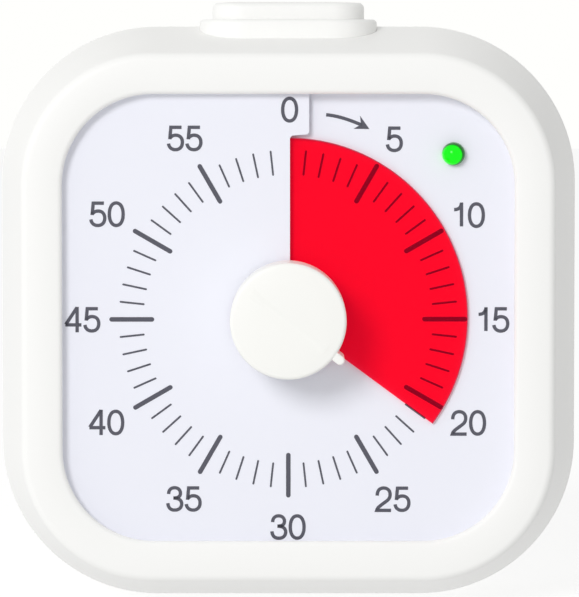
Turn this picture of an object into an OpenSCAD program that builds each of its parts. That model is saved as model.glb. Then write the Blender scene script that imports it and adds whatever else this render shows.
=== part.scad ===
// Visual countdown timer: a knob sets a red film disc that leaves the dial through a slit.
// Millimetres. +X is right and +Z is up, seen from the front, and the dial faces -Y.
// The origin is the middle of the footprint, on the surface that the case stands on.

/* [Case] */
// Width of the case at its widest section
case_w = 90; // [86:0.5:110]
// Height of the case at its widest section
case_h = 89.3; // [87:0.1:110]
// Depth of the case, from the front ring to the back face
case_d = 40; // [39:0.5:50]
// Depth of the seam between the two shells, where the front flank ends
seam_d = 20; // [18:0.5:22]
// Corner radius at the seam
corner_r = 24.3; // [24:0.1:26]
// How far the flank slopes in between the seam and the front
flank_in = 3.95; // [3.5:0.05:5]
// Radius of the shoulder between the front ring and the flank
shoulder_r = 1.4; // [0.8:0.1:2]
// Width of the front ring around the dial
ring_w = 6.4; // [6:0.1:6.8]
// Height of the crown across the front ring
ring_crown = 0.25; // [0.1:0.05:0.5]
// Radius on the edge of the dial opening
opening_edge = 0.8; // [0.4:0.1:1]
// Thickness of the lip that runs back from the dial opening
lip_t = 1.5; // [1.2:0.1:1.7]
// Wall thickness of both shells
wall = 2.2; // [1.8:0.1:2.4]
// Radius between the sides and the back face
back_r = 4; // [3:0.5:5]
// Height of the tongue that locates the rear shell in the front one
tongue_h = 1.5; // [1:0.5:3]
// Distance of the dial axis below the middle of the case
axis_drop = 0; // [0:0.1:1]

/* [Dial and film] */
// Mean depth of the dial card below the front ring
dial_recess = 2.8; // [2.4:0.1:3.6]
// Thickness of the dial card
card_t = 0.3; // [0.2:0.05:0.4]
// Gap between the edge of the card and the lip
card_gap = 0.15; // [0.1:0.05:0.3]
// Rise of the card and the film over one turn
spiral_rise = 1.2; // [1.1:0.05:1.4]
// Distance of the slit edge to the right of the axis
slit_x = 0.25; // [0.2:0.05:0.5]
// Distance of the right edge of the zero tab from the axis
tab_w = 3.2; // [2:0.1:4]
// Distance from the axis up to the lower edge of the zero tab
tab_z = 27.9; // [27.8:0.1:29]
// Outer radius of the red film
film_r = 27.6; // [25:0.1:27.6]
// Thickness of the red film
film_t = 0.25; // [0.2:0.05:0.35]
// Time shown at rest, in minutes
rest_minutes = 21; // [5:1:55]
// Thickness of the tray behind the card
tray_t = 2; // [1.8:0.1:2.5]

/* [Knob and shaft] */
// Diameter of the knob
knob_dia = 17.7; // [16:0.1:20]
// Height of the knob in front of the front ring
knob_proud = 8.5; // [8:0.5:12]
// Radius on the front edge of the knob
knob_edge = 0.6; // [0.4:0.1:2]
// Wall of the knob
knob_wall = 1.8; // [1.5:0.1:2]
// Width of the pointer nub on the rim of the knob
nub_w = 1.4; // [1:0.1:2]
// How far the pointer nub stands out of the rim
nub_out = 1.5; // [0.8:0.1:2]
// How far the front of the nub lies behind the front of the knob
nub_low = 0.5; // [0.3:0.1:6]
// Diameter of the shaft where the film hub slides
shaft_dia = 5; // [4.6:0.1:5.2]
// Diameter of the shaft in its bearing
journal_dia = 4; // [3.6:0.1:4.2]
// Diameter of the shaft end that carries the centre wheel
seat_dia = 3; // [2.6:0.1:3.2]
// Outer diameter of the film hub
hub_dia = 9.6; // [9:0.1:10]
// Width of the two keys that turn the film hub
key_w = 1; // [0.8:0.1:1.4]
// Radial clearance of running fits
fit = 0.05; // [0.03:0.01:0.08]

/* [Movement] */
// Outer width and height of the movement box
box_w = 37.2; // [37:0.1:39]
// Height of the middle of the movement box above the dial axis
box_up = 2.6; // [2.4:0.1:2.8]
// Thickness of the movement base plate
base_t = 1.4; // [1.2:0.1:1.8]
// Thickness of the movement cover
cover_t = 1.2; // [1:0.1:1.6]
// Thickness of each wheel
wheel_t = 0.8; // [0.6:0.1:1]
// Depth between two neighbouring wheels
wheel_step = 2; // [1.8:0.1:2.2]
// Tooth module of the centre wheel and the third pinion
centre_module = 0.3; // [0.28:0.01:0.3]
// Tooth module of the faster wheels
train_module = 0.25; // [0.24:0.01:0.25]
// Diameter of the wheel arbors
arbor_dia = 1.2; // [1:0.1:1.3]
// Diameter of the pivots at the ends of the arbors
pivot_dia = 0.7; // [0.6:0.05:0.8]
// Diameter of the rotor magnet
magnet_dia = 5; // [4:0.5:5]
// Outer diameter of the coil
coil_dia = 4.8; // [4:0.1:4.8]
// Length of the coil
coil_len = 12; // [10:0.5:13]

/* [Top button] */
// Width of the button collar
collar_w = 27.7; // [26:0.1:32]
// Depth of the button collar, front to back
collar_d = 14; // [13:0.5:15]
// Height of the collar above the top of the case
collar_proud = 1.1; // [0.8:0.1:1.5]
// Border of the collar around the button
collar_rim = 2; // [1.8:0.1:2.2]
// Height of the button above its collar
button_proud = 2.7; // [2:0.1:3.5]
// Press of the button
button_press = 1.2; // [0.8:0.1:1.4]
// Height of the room for the return spring
spring_room = 4.9; // [4.5:0.1:6]
// Distance of the middle of the button behind the seam
button_back = -1.7; // [-2.5:0.1:0]
// Clearance around the button
button_gap = 0.15; // [0.1:0.05:0.2]
// Diameter of the button stem
stem_dia = 4; // [3.5:0.1:4.2]
// Outer diameter of the return spring
spring_dia = 7; // [6:0.5:8]
// Wire of the return spring
spring_wire = 0.5; // [0.4:0.1:0.6]

/* [Electronics] */
// Diameter of the lamp
led_dia = 3.5; // [3:0.1:4]
// Distance of the lamp from the right side of the dial opening
led_side = 9.3; // [9.2:0.05:10]
// Distance of the lamp from the top of the dial opening
led_down = 9.2; // [9.2:0.05:10]
// Width of the circuit board
board_w = 48; // [46:1:52]
// Height of the circuit board
board_h = 19; // [18:0.5:20]
// Thickness of the circuit board
board_t = 1.6; // [1.2:0.2:1.6]
// Diameter of the posts that carry the circuit board
post_dia = 5; // [4.5:0.1:6]
// Diameter of the sounder
sounder_dia = 12; // [10:0.5:12]
// Height of the sounder
sounder_h = 8; // [6:0.5:8]
// Travel of the volume slider to each side
volume_travel = 2; // [1:0.5:2.5]
// Width of the volume switch
switch_w = 10; // [9:0.5:11]
// Height of the volume switch
switch_d = 5; // [4.5:0.5:6]
// Depth of the volume switch behind the board
switch_h = 3.5; // [3:0.5:5]
// Width of the volume slider
slider_w = 4; // [3:0.5:5]
// Height of the volume slider
slider_h = 3; // [2.5:0.1:3.2]

/* [Battery] */
// Diameter of the battery cell
cell_dia = 14.5; // [14:0.1:14.5]
// Length of the battery cell with its nub
cell_len = 50.5; // [49:0.5:50.5]
// Clearance around the battery cell
cell_gap = 0.5; // [0.3:0.1:1]
// Room for a contact at each end of the cell
contact_deep = 2.4; // [2.2:0.1:3]
// Width and height of the contact plates
contact_w = 10; // [8:0.5:12]
// Thickness of the battery door
door_t = 1.6; // [1.4:0.1:1.8]
// Corner radius of the battery door
door_r = 3; // [2:0.5:4]
// Gap around the battery door
door_gap = 0.2; // [0.15:0.05:0.4]
// Width of the ledge that the battery door closes against
door_lap = 1; // [0.8:0.1:1.5]
// Width of each tongue of the battery door
tongue_w = 6; // [5:0.5:8]
// Width of the grip grooves on the battery door
grip_w = 12; // [8:1:20]
// Thickness of the walls around the cell
bay_wall = 1.2; // [1:0.1:1.4]

/* [Fasteners] */
// Shank diameter of the case screws
screw_dia = 2.6; // [2:0.1:3]
// Diameter of the case screw bosses
boss_dia = 6; // [5.5:0.1:6.5]
// Distance of the case screws from the sides of the case
boss_side = 12.8; // [12.5:0.1:13]
// Distance of the case screws from the top and the bottom of the case
boss_top = 15.3; // [15:0.1:16]
// Shank diameter of the small screws
small_screw_dia = 1.7; // [1.4:0.1:1.8]
// Head diameter of the small screws
small_head_dia = 3.4; // [3:0.1:3.6]

/* [Hidden] */
$fn = 48;

eps = 0.01;            // a little more than flush, for cuts that must go right through
air = 0.3;             // gap between parts that move past each other without touching
seat = 0.05;           // gap around a piece that is pushed into its place

// Places of the face frame: x right, y up, z towards the viewer, zero on the dial axis.
front_y = (knob_proud - case_d) / 2;
axis_z = case_h / 2 - axis_drop;
half_x = case_w / 2 - corner_r;
half_y = case_h / 2 - corner_r;
ring_u = corner_r - flank_in;
opening_u = ring_u - ring_w;
dial_z = -dial_recess - spiral_rise / 2;
rest_deg = rest_minutes * 6;
led_at = [half_x + opening_u - led_side, half_y + opening_u + axis_drop - led_down];

// Layers behind the dial, each worked out from the one in front of it.
film_gap = (spiral_rise - film_t - card_t) / 2;
tray_z = dial_z + film_gap - spiral_rise - film_gap;
base_z = tray_z - tray_t;
train_z = base_z - base_t;
train_room = 3 * wheel_step + wheel_t;
cover_z = train_z - train_room;
knob_z = dial_z + spiral_rise + 2 * film_gap + film_t;

// Wheel train: the level of each wheel and the place of each arbor.
wheel_z = train_z - wheel_step + 0.4;
third_z = wheel_z - wheel_step;
second_z = third_z - wheel_step;
centre_teeth = 60;
third_teeth = 60;
second_teeth = 48;
third_pinion = 12;
second_pinion = 10;
rotor_pinion = 8;
third_dir = 215;
second_dir = 100;
rotor_dir = 75;
third_at = centre_module * (centre_teeth + third_pinion) / 2 * [cos(third_dir), sin(third_dir)];
second_at = third_at
    + train_module * (third_teeth + second_pinion) / 2 * [cos(second_dir), sin(second_dir)];
rotor_at = second_at
    + train_module * (second_teeth + rotor_pinion) / 2 * [cos(rotor_dir), sin(rotor_dir)];
third_turn = mesh_turn(third_dir, 0, centre_teeth, third_pinion);
second_turn = mesh_turn(second_dir, third_turn, third_teeth, second_pinion);
rotor_turn = mesh_turn(rotor_dir, second_turn, second_teeth, rotor_pinion);

// Button stack, in world heights.
button_y = front_y + seam_d + button_back;
collar_top = case_h + collar_proud;
button_top = collar_top + button_proud;
flange_drop = 2.2;      // from the inside of the top wall down to the flange
flange_t = 1;
flange_out = 1.2;
cage_t = 1.2;
flange_top = case_h - wall - flange_drop;
cage_floor = flange_top - flange_t - spring_room - cage_t;
stem_end = cage_floor - button_press - 0.2;
plunger_dia = 3.2;
plunger_len = 4;
tact_w = 6;
tact_d = 5.5;
tact_top = stem_end - 2 * button_press;
tact_low = stem_end - plunger_len - button_press - 0.9;

// Circuit board, in world places.
board_y = button_y + tact_d / 2 + 2;
board_top = stem_end - 1.2;
board_bottom = board_top - board_h;
back_y = front_y + case_d;
back_in = back_y - wall;
board_mid = (board_top + board_bottom) / 2;
board_rim = 0.5;       // gap between a post and the edge of the board, or the sounder
post_x = board_w / 2 - post_dia / 2 - board_rim;
sounder_x = -(post_x - post_dia / 2 - sounder_dia / 2 - board_rim);
volume_x = post_x - post_dia / 2 - switch_w / 2 - 1.5;

// Battery bay, in world places.
bay_half = cell_len / 2 + contact_deep;
bay_h = cell_dia + 2 * cell_gap;
bay_front = back_y - door_t - bay_h - 0.1;
cell_y = bay_front + bay_h / 2;
cell_up = boss_top + boss_dia / 2 + air + bay_wall + bay_h / 2;
door_w = 2 * (bay_half + door_lap);
door_h = bay_h + 2 * door_lap;

// Points of an arc about [cx, cy], from angle a0 to a1 in n steps.
function arc(cx, cy, r, a0, a1, n) =
    [for (i = [0:n]) let (a = a0 + (a1 - a0) * i / n) [cx + r * cos(a), cy + r * sin(a)]];

// Turn of a driven wheel whose gap meets the tooth of its driver, along the line of centres.
function mesh_turn(dir, driver_turn, driver_teeth, driven_teeth) =
    dir + 180 - 180 / driven_teeth
    - (dir - driver_turn) * driver_teeth / driven_teeth * -1;

// Distance from the axis to the edge of the card, along the clockwise angle a.
function card_edge(a) =
    let (x = sin(a), y = cos(a),
         hx = half_x + opening_u - card_gap, up = half_y + opening_u - card_gap + axis_drop,
         down = half_y + opening_u - card_gap - axis_drop, hy = y > 0 ? up : down,
         r = opening_u - card_gap, cx = hx - r, cy = hy - r,
         side = abs(x) < eps ? 1e6 : hx / abs(x), top = abs(y) < eps ? 1e6 : hy / abs(y),
         flat = min(side, top), corner = abs(x) * flat > cx && abs(y) * flat > cy,
         along = cx * abs(x) + cy * abs(y), across = cx * abs(y) - cy * abs(x))
    corner ? along + sqrt(max(r * r - across * across, 0)) : flat;

// Height of the card face above the dial level at the point [x, y] of turn number t.
function spiral(x, y, t) = spiral_rise * (t + (atan2(x, y) + 360) % 360 / 360);

module face() translate([0, front_y, axis_z]) rotate([90, 0, 0]) children();
module at(p, z = 0) translate([p[0], p[1], z]) children();

// A rod along the face frame's z, from z0 up to z1.
module rod(d, z0, z1) translate([0, 0, z0]) cylinder(d = d, h = z1 - z0);

// A round-ended bar, w wide and d deep, from z0 up to z1.
module pill(w, d, z0, z1) translate([0, 0, z0]) linear_extrude(z1 - z0) {
    square([w - d, d], center = true);
    for (s = [-1, 1]) translate([s * (w - d) / 2, 0]) circle(d = d);
}

// A plate with round corners.
module plate(w, h, r, z0, z1) translate([0, 0, z0]) linear_extrude(z1 - z0) {
    square([w - 2 * r, h], center = true);
    square([w, h - 2 * r], center = true);
    for (sx = [-1, 1], sy = [-1, 1]) translate([sx * (w / 2 - r), sy * (h / 2 - r)]) circle(r = r);
}

// Sweeps a wall section around the case: u is the distance out from the corner centres.
module case_sweep(section) translate([0, axis_drop, 0]) {
    for (k = [0:3]) {
        across = k % 2 == 0 ? half_x : half_y;
        along = k % 2 == 0 ? half_y : half_x;
        rotate(90 * k) {
            translate([across, along, 0]) rotate_extrude(angle = 90) polygon(section);
            translate([across, along, 0]) rotate([90, 0, 0]) linear_extrude(2 * along) polygon(section);
        }
    }
}

// Places of the four case screws, each turned so that its x points out to the corner.
module corners() for (sx = [-1, 1], sy = [-1, 1])
    translate([sx * (case_w / 2 - boss_side), axis_drop + sy * (case_h / 2 - boss_top), 0])
        rotate(atan2(sy * (corner_r - boss_top), sx * (corner_r - boss_side))) children();

// Slope of the flank, and the lengths of a case screw in each shell.
slope = flank_in / (seam_d - shoulder_r);
boss_screw = 7;
boss_floor = 4;

// Places of the four tray screws, at the middle of each side of the opening.
tray_pad = 6;
tray_screw_u = (opening_u + corner_r - flank_in - wall) / 2 + 0.3;
module sides() translate([0, axis_drop, 0]) for (k = [0:3])
    rotate(90 * k) translate([(k % 2 == 0 ? half_x : half_y) + tray_screw_u, 0, 0]) children();

module front_bezel() color("white") difference() {
    in_u = ring_u - wall;
    boss_u = norm([corner_r - boss_side, corner_r - boss_top]);
    rib_t = 2.4;
    union() {
        face() case_sweep(concat(
            [[opening_u, tray_z]],
            arc(opening_u + opening_edge, -ring_crown - opening_edge, opening_edge, 180, 90, 4),
            [for (i = [1:5]) let (t = i / 3 - 1)
                [opening_u + opening_edge + (ring_w - opening_edge - shoulder_r) * i / 6,
                 -ring_crown * t * t]],
            arc(ring_u - shoulder_r, -ring_crown - shoulder_r, shoulder_r, 90, 8, 5),
            [[corner_r, -seam_d], [corner_r - wall, -seam_d],
             [in_u + slope * wall, -wall - ring_crown], [opening_u + lip_t, -wall - ring_crown],
             [opening_u + lip_t, tray_z]]));
        face() corners() {
            rod(boss_dia, -seam_d, base_z - air);
            translate([0, -rib_t / 2, -seam_d])
                cube([in_u - base_z * slope + 1 - boss_u, rib_t, seam_d + base_z - air]);
        }
        face() sides() translate([opening_u + lip_t / 2 - tray_screw_u, -tray_pad / 2, tray_z])
            cube([ring_w - wall + 0.8, tray_pad, -wall / 2 - tray_z]);
    }
    face() corners() rod(screw_dia, -seam_d - eps, -seam_d + boss_screw + 0.5);
    face() sides() rod(small_screw_dia, tray_z - eps, tray_z + 2.6);
    translate([0, button_y, 0]) pill(collar_w + 2 * seat, collar_d + 2 * seat, case_h / 2, case_h + 5);
}

module rear_case() color("white") difference() {
    tongue_u = corner_r - wall - seat;
    union() {
        face() case_sweep(concat(
            [[0, -case_d]],
            arc(corner_r - back_r, -case_d + back_r, back_r, -90, 0, 6),
            [[corner_r, -seam_d], [tongue_u, -seam_d], [tongue_u - slope * tongue_h, -seam_d + tongue_h],
             [tongue_u - 1.2, -seam_d + tongue_h], [tongue_u - 1.2, -seam_d - 2],
             [corner_r - wall, -seam_d - 4], [corner_r - wall, -case_d + back_r],
             [corner_r - back_r, -case_d + wall], [0, -case_d + wall]]));
        face() translate([-half_x, axis_drop - half_y, -case_d]) cube([2 * half_x, 2 * half_y, wall]);
        face() corners() rod(boss_dia, -case_d + wall / 2, -seam_d);
        bay_shell();
        for (sx = [-1, 1]) board_post(sx);
    }
    face() corners() {
        rod(screw_dia + 0.4, -case_d - eps, -seam_d + eps);
        rod(boss_dia - 1.2, -case_d - eps, -seam_d - boss_floor);
    }
    translate([0, button_y, 0]) pill(collar_w + 2 * seat, collar_d + 2 * seat, case_h / 2, case_h + 5);
    door_hole();
    sounder_holes();
    volume_slot();
    for (sx = [-1, 1]) board_screw_hole(sx);
}

// Walls of the battery bay, open to the back.
module bay_shell() translate([0, 0, cell_up]) difference() {
    w = 2 * (bay_half + bay_wall);
    h = bay_h + 2 * bay_wall;
    translate([-w / 2, bay_front - bay_wall, -h / 2]) cube([w, back_in + eps - bay_front + bay_wall, h]);
    translate([-bay_half, bay_front, -bay_h / 2]) cube([2 * bay_half, back_y - bay_front, bay_h]);
}

// A plate of the battery door's outline, grown by gap, from depth y0 back to y1.
module door_plate(gap, y0, y1) translate([0, y1, 0]) rotate([90, 0, 0])
    plate(door_w + 2 * gap, door_h + 2 * gap, door_r + gap, 0, y1 - y0);

// The hole for the battery door, with the ledge that the door closes against.
module door_hole() translate([0, 0, cell_up]) {
    door_plate(door_gap, back_y - door_t, back_y + eps);
    translate([-bay_half, back_in - 1, -bay_h / 2]) cube([2 * bay_half, wall + 2, bay_h]);
    low = -door_h / 2 - tongue_out - door_gap;
    for (sx = [-1, 1]) translate([sx * door_w / 4 - tongue_w / 2 - door_gap,
                                  back_y - door_t - tongue_t - 3 * door_gap, low])
        cube([tongue_w + 2 * door_gap, tongue_t + 3 * door_gap, tongue_out + 5]);
}

// The two tongues of the battery door hook under the lower edge of its hole.
tongue_t = 1;
tongue_out = 1.2;
module battery_door() color("white") translate([0, 0, cell_up]) {
    difference() {
        door_plate(0, back_y - door_t, back_y);
        for (i = [-2:2]) translate([-grip_w / 2, back_y - 0.4, door_h / 2 - 4.6 + i * 1.2])
            cube([grip_w, 1, 0.6]);
    }
    for (sx = [-1, 1]) translate([sx * door_w / 4 - tongue_w / 2, back_y - door_t, -door_h / 2]) {
        translate([0, -tongue_t, -tongue_out]) cube([tongue_w, tongue_t, tongue_out + 2.4]);
        translate([0, -eps, 0.4]) cube([tongue_w, 2 * eps, 2]);
    }
}

module sounder_holes() for (ring = [0:2], k = [0:max(1, 6 * ring) - 1])
    translate([sounder_x, back_y + eps, board_mid]) rotate([90, 60 * k / max(ring, 1), 0])
        translate([2 * ring, 0, 0]) cylinder(d = 1.1, h = wall + 2 * eps);

module volume_slot() translate([volume_x, 0, board_mid]) {
    translate([-slider_w / 2 - volume_travel - air, back_in - eps, -slider_h / 2 - air])
        cube([slider_w + 2 * volume_travel + 2 * air, wall + 2 * eps, slider_h + 2 * air]);
}

// A post that carries the circuit board, and the pilot hole in it.
module board_place(sx) translate([sx * post_x, 0, board_mid]) rotate([-90, 0, 0]) children();
module board_post(sx) board_place(sx) rod(post_dia, board_y + board_t, back_in + eps);
module board_screw_hole(sx) board_place(sx)
    rod(small_screw_dia, board_y + board_t - eps, board_y + board_t + 5);

// The card is one spiral sheet; its left end rises over the slit and carries the zero tab.
module dial_card() color("lavender") face() difference() {
    step = 3;
    n = 360 / step;
    hole_r = hub_dia / 2 + 2 * air;
    top = half_y + opening_u - card_gap + axis_drop;
    polar = [for (i = [0:n]) let (a = i * step)
        [for (r = [hole_r, tab_z, card_edge(a)])
            [r * sin(a), r * cos(a), spiral_rise * i / n]]];
    slit_column = [for (y = [sqrt(hole_r * hole_r - slit_x * slit_x), tab_z, top])
        [slit_x, y, spiral(slit_x, y, 1)]];
    tab_column = [for (y = [tab_z, tab_z, top]) [tab_w, y, spiral(tab_w, y, 1)]];
    columns = concat(polar, [slit_column, tab_column]);
    last = len(columns) - 1;
    grid = [for (c = columns, p = c) p];
    m = len(grid);
    points = concat([for (p = grid) [p[0], p[1], dial_z + p[2]]],
                    [for (p = grid) [p[0], p[1], dial_z + p[2] - card_t]]);
    cells = concat([for (i = [0:last - 2], j = [0, 1]) [i, j]], [[last - 1, 1]]);
    loop = concat([for (i = [0:last - 1]) 3 * i], [3 * (last - 1) + 1, 3 * last + 1],
                  [for (i = [last:-1:0]) 3 * i + 2], [1]);
    polyhedron(points, concat(
        [for (c = cells, f = [0, 1]) let (q = 3 * c[0] + c[1])
            f == 0 ? [q, q + 1, q + 4] : [q, q + 4, q + 3]],
        [for (c = cells, f = [0, 1]) let (q = 3 * c[0] + c[1] + m)
            f == 0 ? [q + 4, q + 1, q] : [q + 3, q + 4, q]],
        [for (i = [0:len(loop) - 1], f = [0, 1])
            let (p = loop[i], q = loop[(i + 1) % len(loop)])
            f == 0 ? [p, q, q + m] : [p, q + m, p + m]]));
    at(led_at, dial_z - 2) cylinder(d = led_dia + air, h = 6);
}

module dial_tray() color("gainsboro") face() difference() {
    union() {
        translate([0, axis_drop, 0]) plate(2 * (half_x + opening_u + lip_t), 2 * (half_y + opening_u + lip_t),
                                           opening_u + lip_t, base_z, tray_z);
        sides() translate([-4, -tray_pad / 2, base_z]) cube([4 + 1.6, tray_pad, tray_t]);
    }
    rod(hub_dia + 4 * air, base_z - eps, tray_z + eps);
    at(led_at) rod(led_dia - 0.7, base_z - eps, tray_z + eps);
    sides() rod(small_screw_dia + 0.2, base_z - eps, tray_z + eps);
    corners() rod(boss_dia + 2 * air, base_z - eps, tray_z + eps);
    movement_corners() rod(small_screw_dia, base_z - eps, base_z + tray_t - 0.3);
}

// The film is one turn of the same spiral, seen from zero round to the time that is set.
module red_film() color("red") face() {
    step = 4;
    n = 360 / step;
    inner = hub_dia / 2 + seat;
    points = [for (z = [0, -film_t], i = [0:n], r = [inner, film_r])
        let (a = rest_deg - 360 + i * step)
        [r * sin(a), r * cos(a), dial_z + film_gap + film_t + spiral_rise * a / 360 + z]];
    m = 2 * (n + 1);
    loop = concat([for (i = [0:n]) 2 * i], [for (i = [n:-1:0]) 2 * i + 1]);
    polyhedron(points, concat(
        [for (i = [0:n - 1], f = [0, 1]) let (q = 2 * i)
            f == 0 ? [q, q + 1, q + 3] : [q, q + 3, q + 2]],
        [for (i = [0:n - 1], f = [0, 1]) let (q = 2 * i + m)
            f == 0 ? [q + 3, q + 1, q] : [q + 2, q + 3, q]],
        [for (i = [0:len(loop) - 1], f = [0, 1]) let (p = loop[i], q = loop[(i + 1) % len(loop)])
            f == 0 ? [p, q, q + m] : [p, q + m, p + m]]));
}

// The hub carries the film on its rim and slides along the two keys of the shaft.
hub_low = dial_z + film_gap + spiral_rise * (rest_deg / 360 - 1) - 0.5;
hub_high = dial_z + film_gap + film_t + spiral_rise * rest_deg / 360 + 0.5;
module film_hub() color("dimgray") face() difference() {
    rod(hub_dia, hub_low, hub_high);
    rod(shaft_dia + 2 * fit, hub_low - eps, hub_high + eps);
    shaft_keys(0.1, hub_low - eps, hub_high + eps);
}

key_out = 0.8;
module shaft_keys(gap, z0, z1) translate([-shaft_dia / 2 - key_out - gap, -key_w / 2 - gap, z0])
    cube([shaft_dia + 2 * key_out + 2 * gap, key_w + 2 * gap, z1 - z0]);

// Room that the hub needs in the knob to slide out to a full hour.
hub_room_high = hub_high + spiral_rise * (1 - rest_deg / 360) + 0.3;
socket_z = knob_proud - 3;
module knob() color("whitesmoke") face() {
    r = knob_dia / 2;
    nub_y = 1 + nub_out - nub_w / 2;
    difference() {
        union() {
            rotate_extrude() polygon(concat(
                [[0, knob_z], [r - 0.3, knob_z], [r, knob_z + 0.3]],
                arc(r - knob_edge, knob_proud - knob_edge - 0.2, knob_edge, 0, 80, 6),
                [[r / 2, knob_proud - 0.05], [0, knob_proud]]));
            rotate(-rest_deg) translate([0, r - 1, 0]) {
                translate([-nub_w / 2, 0, knob_z]) cube([nub_w, nub_y, knob_proud - nub_low - knob_z]);
                translate([0, nub_y, 0]) rod(nub_w, knob_z, knob_proud - nub_low);
            }
        }
        difference() {
            rod(knob_dia - 2 * knob_wall, knob_z - eps, knob_proud - 2.2);
            rod(shaft_dia + 3.4, hub_room_high, knob_proud);
        }
        rod(shaft_dia + 2 * seat, hub_room_high - eps, socket_z);
        shaft_keys(seat, hub_room_high - eps, socket_z);
    }
}

module knob_shaft() color("silver") face() {
    rod(shaft_dia, base_z + 0.1, socket_z - 0.1);
    shaft_keys(0, base_z + 0.1, socket_z - 0.1);
    rod(journal_dia, wheel_z + fit, base_z + 0.1 + eps);
    rod(seat_dia, clip_z - 0.6, wheel_z + fit + eps);
}

// The clutch spring presses the centre wheel against the shoulder of the shaft.
clutch_t = 0.3;
clutch_z = wheel_z - wheel_t - fit;
clip_z = clutch_z - clutch_t - 0.3;
module clutch_spring() color("gold") face() difference() {
    union() {
        rod(5.4, clutch_z - clutch_t, clutch_z);
        rod(4, clip_z + seat, clutch_z - clutch_t + eps);
    }
    rod(seat_dia + 2 * seat, clip_z - 1, clutch_z + eps);
}
module shaft_clip() color("dimgray") face() difference() {
    rod(5, clip_z - 0.5, clip_z);
    rod(seat_dia + 2 * seat, clip_z - 1, clip_z + eps);
    translate([0, -0.5, clip_z - 1]) cube([4, 1, 2]);
}

// Places of the four screws that hold the movement to the tray.
module movement_corners() translate([0, box_up, 0]) for (sx = [-1, 1], sy = [-1, 1])
    translate([sx * (box_w / 2 + 1.6), sy * (box_w / 2 - 4), 0]) children();
module pivots(z0, z1) for (p = [third_at, second_at, rotor_at]) at(p) rod(pivot_dia + 2 * fit, z0, z1);

module movement_base() color("white") face() difference() {
    union() {
        translate([0, box_up, 0]) plate(box_w, box_w, 3, train_z, base_z);
        movement_corners() rod(5.6, train_z, base_z);
    }
    rod(journal_dia + 2 * fit, train_z - eps, base_z + eps);
    pivots(train_z - eps, base_z + eps);
    movement_corners() rod(small_screw_dia + 0.2, train_z - eps, base_z + eps);
}

module movement_cover() color("lightgray") face() difference() {
    translate([0, box_up, 0]) difference() {
        plate(box_w, box_w, 3, cover_z - cover_t, train_z);
        plate(box_w - 2 * cover_t, box_w - 2 * cover_t, 3 - cover_t, cover_z, train_z + eps);
    }
    pivots(cover_z - cover_t - eps, cover_z + eps);
    movement_corners() rod(6.4, cover_z - cover_t - eps, train_z + eps);
}

// Outline of a wheel with straight-sided teeth; the first tooth points along x.
tip_part = 0.16;
pitch_part = 0.36;
root_part = 0.5;
module gear(teeth, modulus, bore, z0, z1) translate([0, 0, z0]) linear_extrude(z1 - z0) difference() {
    pitch_r = teeth * modulus / 2;
    turn = 360 / teeth;
    root_r = pitch_r - 1.15 * modulus;
    tip_r = pitch_r + 0.85 * modulus;
    polygon([for (k = [0:teeth - 1], s = [[root_r, -root_part / 2], [pitch_r, -pitch_part / 2],
                                          [tip_r, -tip_part / 2], [tip_r, tip_part / 2],
                                          [pitch_r, pitch_part / 2], [root_r, root_part / 2]])
        let (a = (k + s[1]) * turn) s[0] * [cos(a), sin(a)]]);
    if (bore > 0) circle(d = bore);
}

module arbor() {
    rod(arbor_dia, cover_z + 0.1, train_z - 0.1);
    rod(pivot_dia, cover_z - cover_t + 0.1, base_z - 0.1);
}

module centre_wheel() color("khaki") face()
    gear(centre_teeth, centre_module, seat_dia + 2 * fit, wheel_z - wheel_t, wheel_z);

module third_wheel() color("gold") face() at(third_at) rotate(third_turn) {
    gear(third_pinion, centre_module, 0, third_z - eps, wheel_z + 0.3);
    gear(third_teeth, train_module, 0, third_z - wheel_t, third_z);
    arbor();
}
module second_wheel() color("khaki") face() at(second_at) rotate(second_turn) {
    gear(second_pinion, train_module, 0, second_z - eps, third_z + 0.3);
    gear(second_teeth, train_module, 0, second_z - wheel_t, second_z);
    arbor();
}
magnet_z = wheel_z - wheel_t - 0.2;
module rotor() color("dimgray") face() at(rotor_at) rotate(rotor_turn) {
    gear(rotor_pinion, train_module, 0, second_z - wheel_t - 0.3, second_z + 0.3);
    rod(magnet_dia, second_z + 0.4, magnet_z);
    arbor();
}

// The stator is one iron plate: a bar with the rotor hole, and a core that the coil sits on.
stator_t = 0.8;
stator_z = (magnet_z + second_z) / 2;
core_y = 16.6;
core_x = 2;
module stator() color("slategray") face() difference() {
    x0 = rotor_at[0] - magnet_dia / 2 - 2;
    x1 = core_x + coil_len + 2.4;
    translate([0, 0, stator_z]) linear_extrude(stator_t) {
        translate([x0, rotor_at[1] - magnet_dia / 2 - 1.2]) square([x1 - x0, magnet_dia + 2.4]);
        translate([core_x - 2.4, core_y - 1.2]) square([x1 - core_x + 2.4, 2.4]);
        for (x = [core_x - 2.4, x1 - 2.2]) translate([x, rotor_at[1]]) square([2.2, core_y - rotor_at[1]]);
    }
    at(rotor_at) rod(magnet_dia + 4 * air, stator_z - 1, stator_z + 2);
}

module coil() color("chocolate") face() difference() {
    translate([core_x + 0.1, core_y, stator_z + stator_t / 2]) rotate([0, 90, 0])
        cylinder(d = coil_dia, h = coil_len - 0.2);
    translate([core_x - 1, core_y - 1.25, stator_z - seat]) cube([coil_len + 2, 2.5, stator_t + 2 * seat]);
}

module circuit_board() color("green") difference() {
    translate([-board_w / 2, board_y, board_bottom]) cube([board_w, board_t, board_h]);
    for (sx = [-1, 1]) board_place(sx) rod(small_screw_dia + 0.2, board_y - eps, board_y + board_t + eps);
}

module crystal() color("silver") translate([2, board_y - 2, board_bottom + 4])
    rotate([0, 90, 0]) cylinder(d = 3, h = 8);

module sounder() color("black") translate([sounder_x, board_y + board_t, board_mid]) rotate([-90, 0, 0])
    difference() {
        rod(sounder_dia, 0, sounder_h);
        rod(2.4, sounder_h - 1.5, sounder_h + eps);
    }

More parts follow.
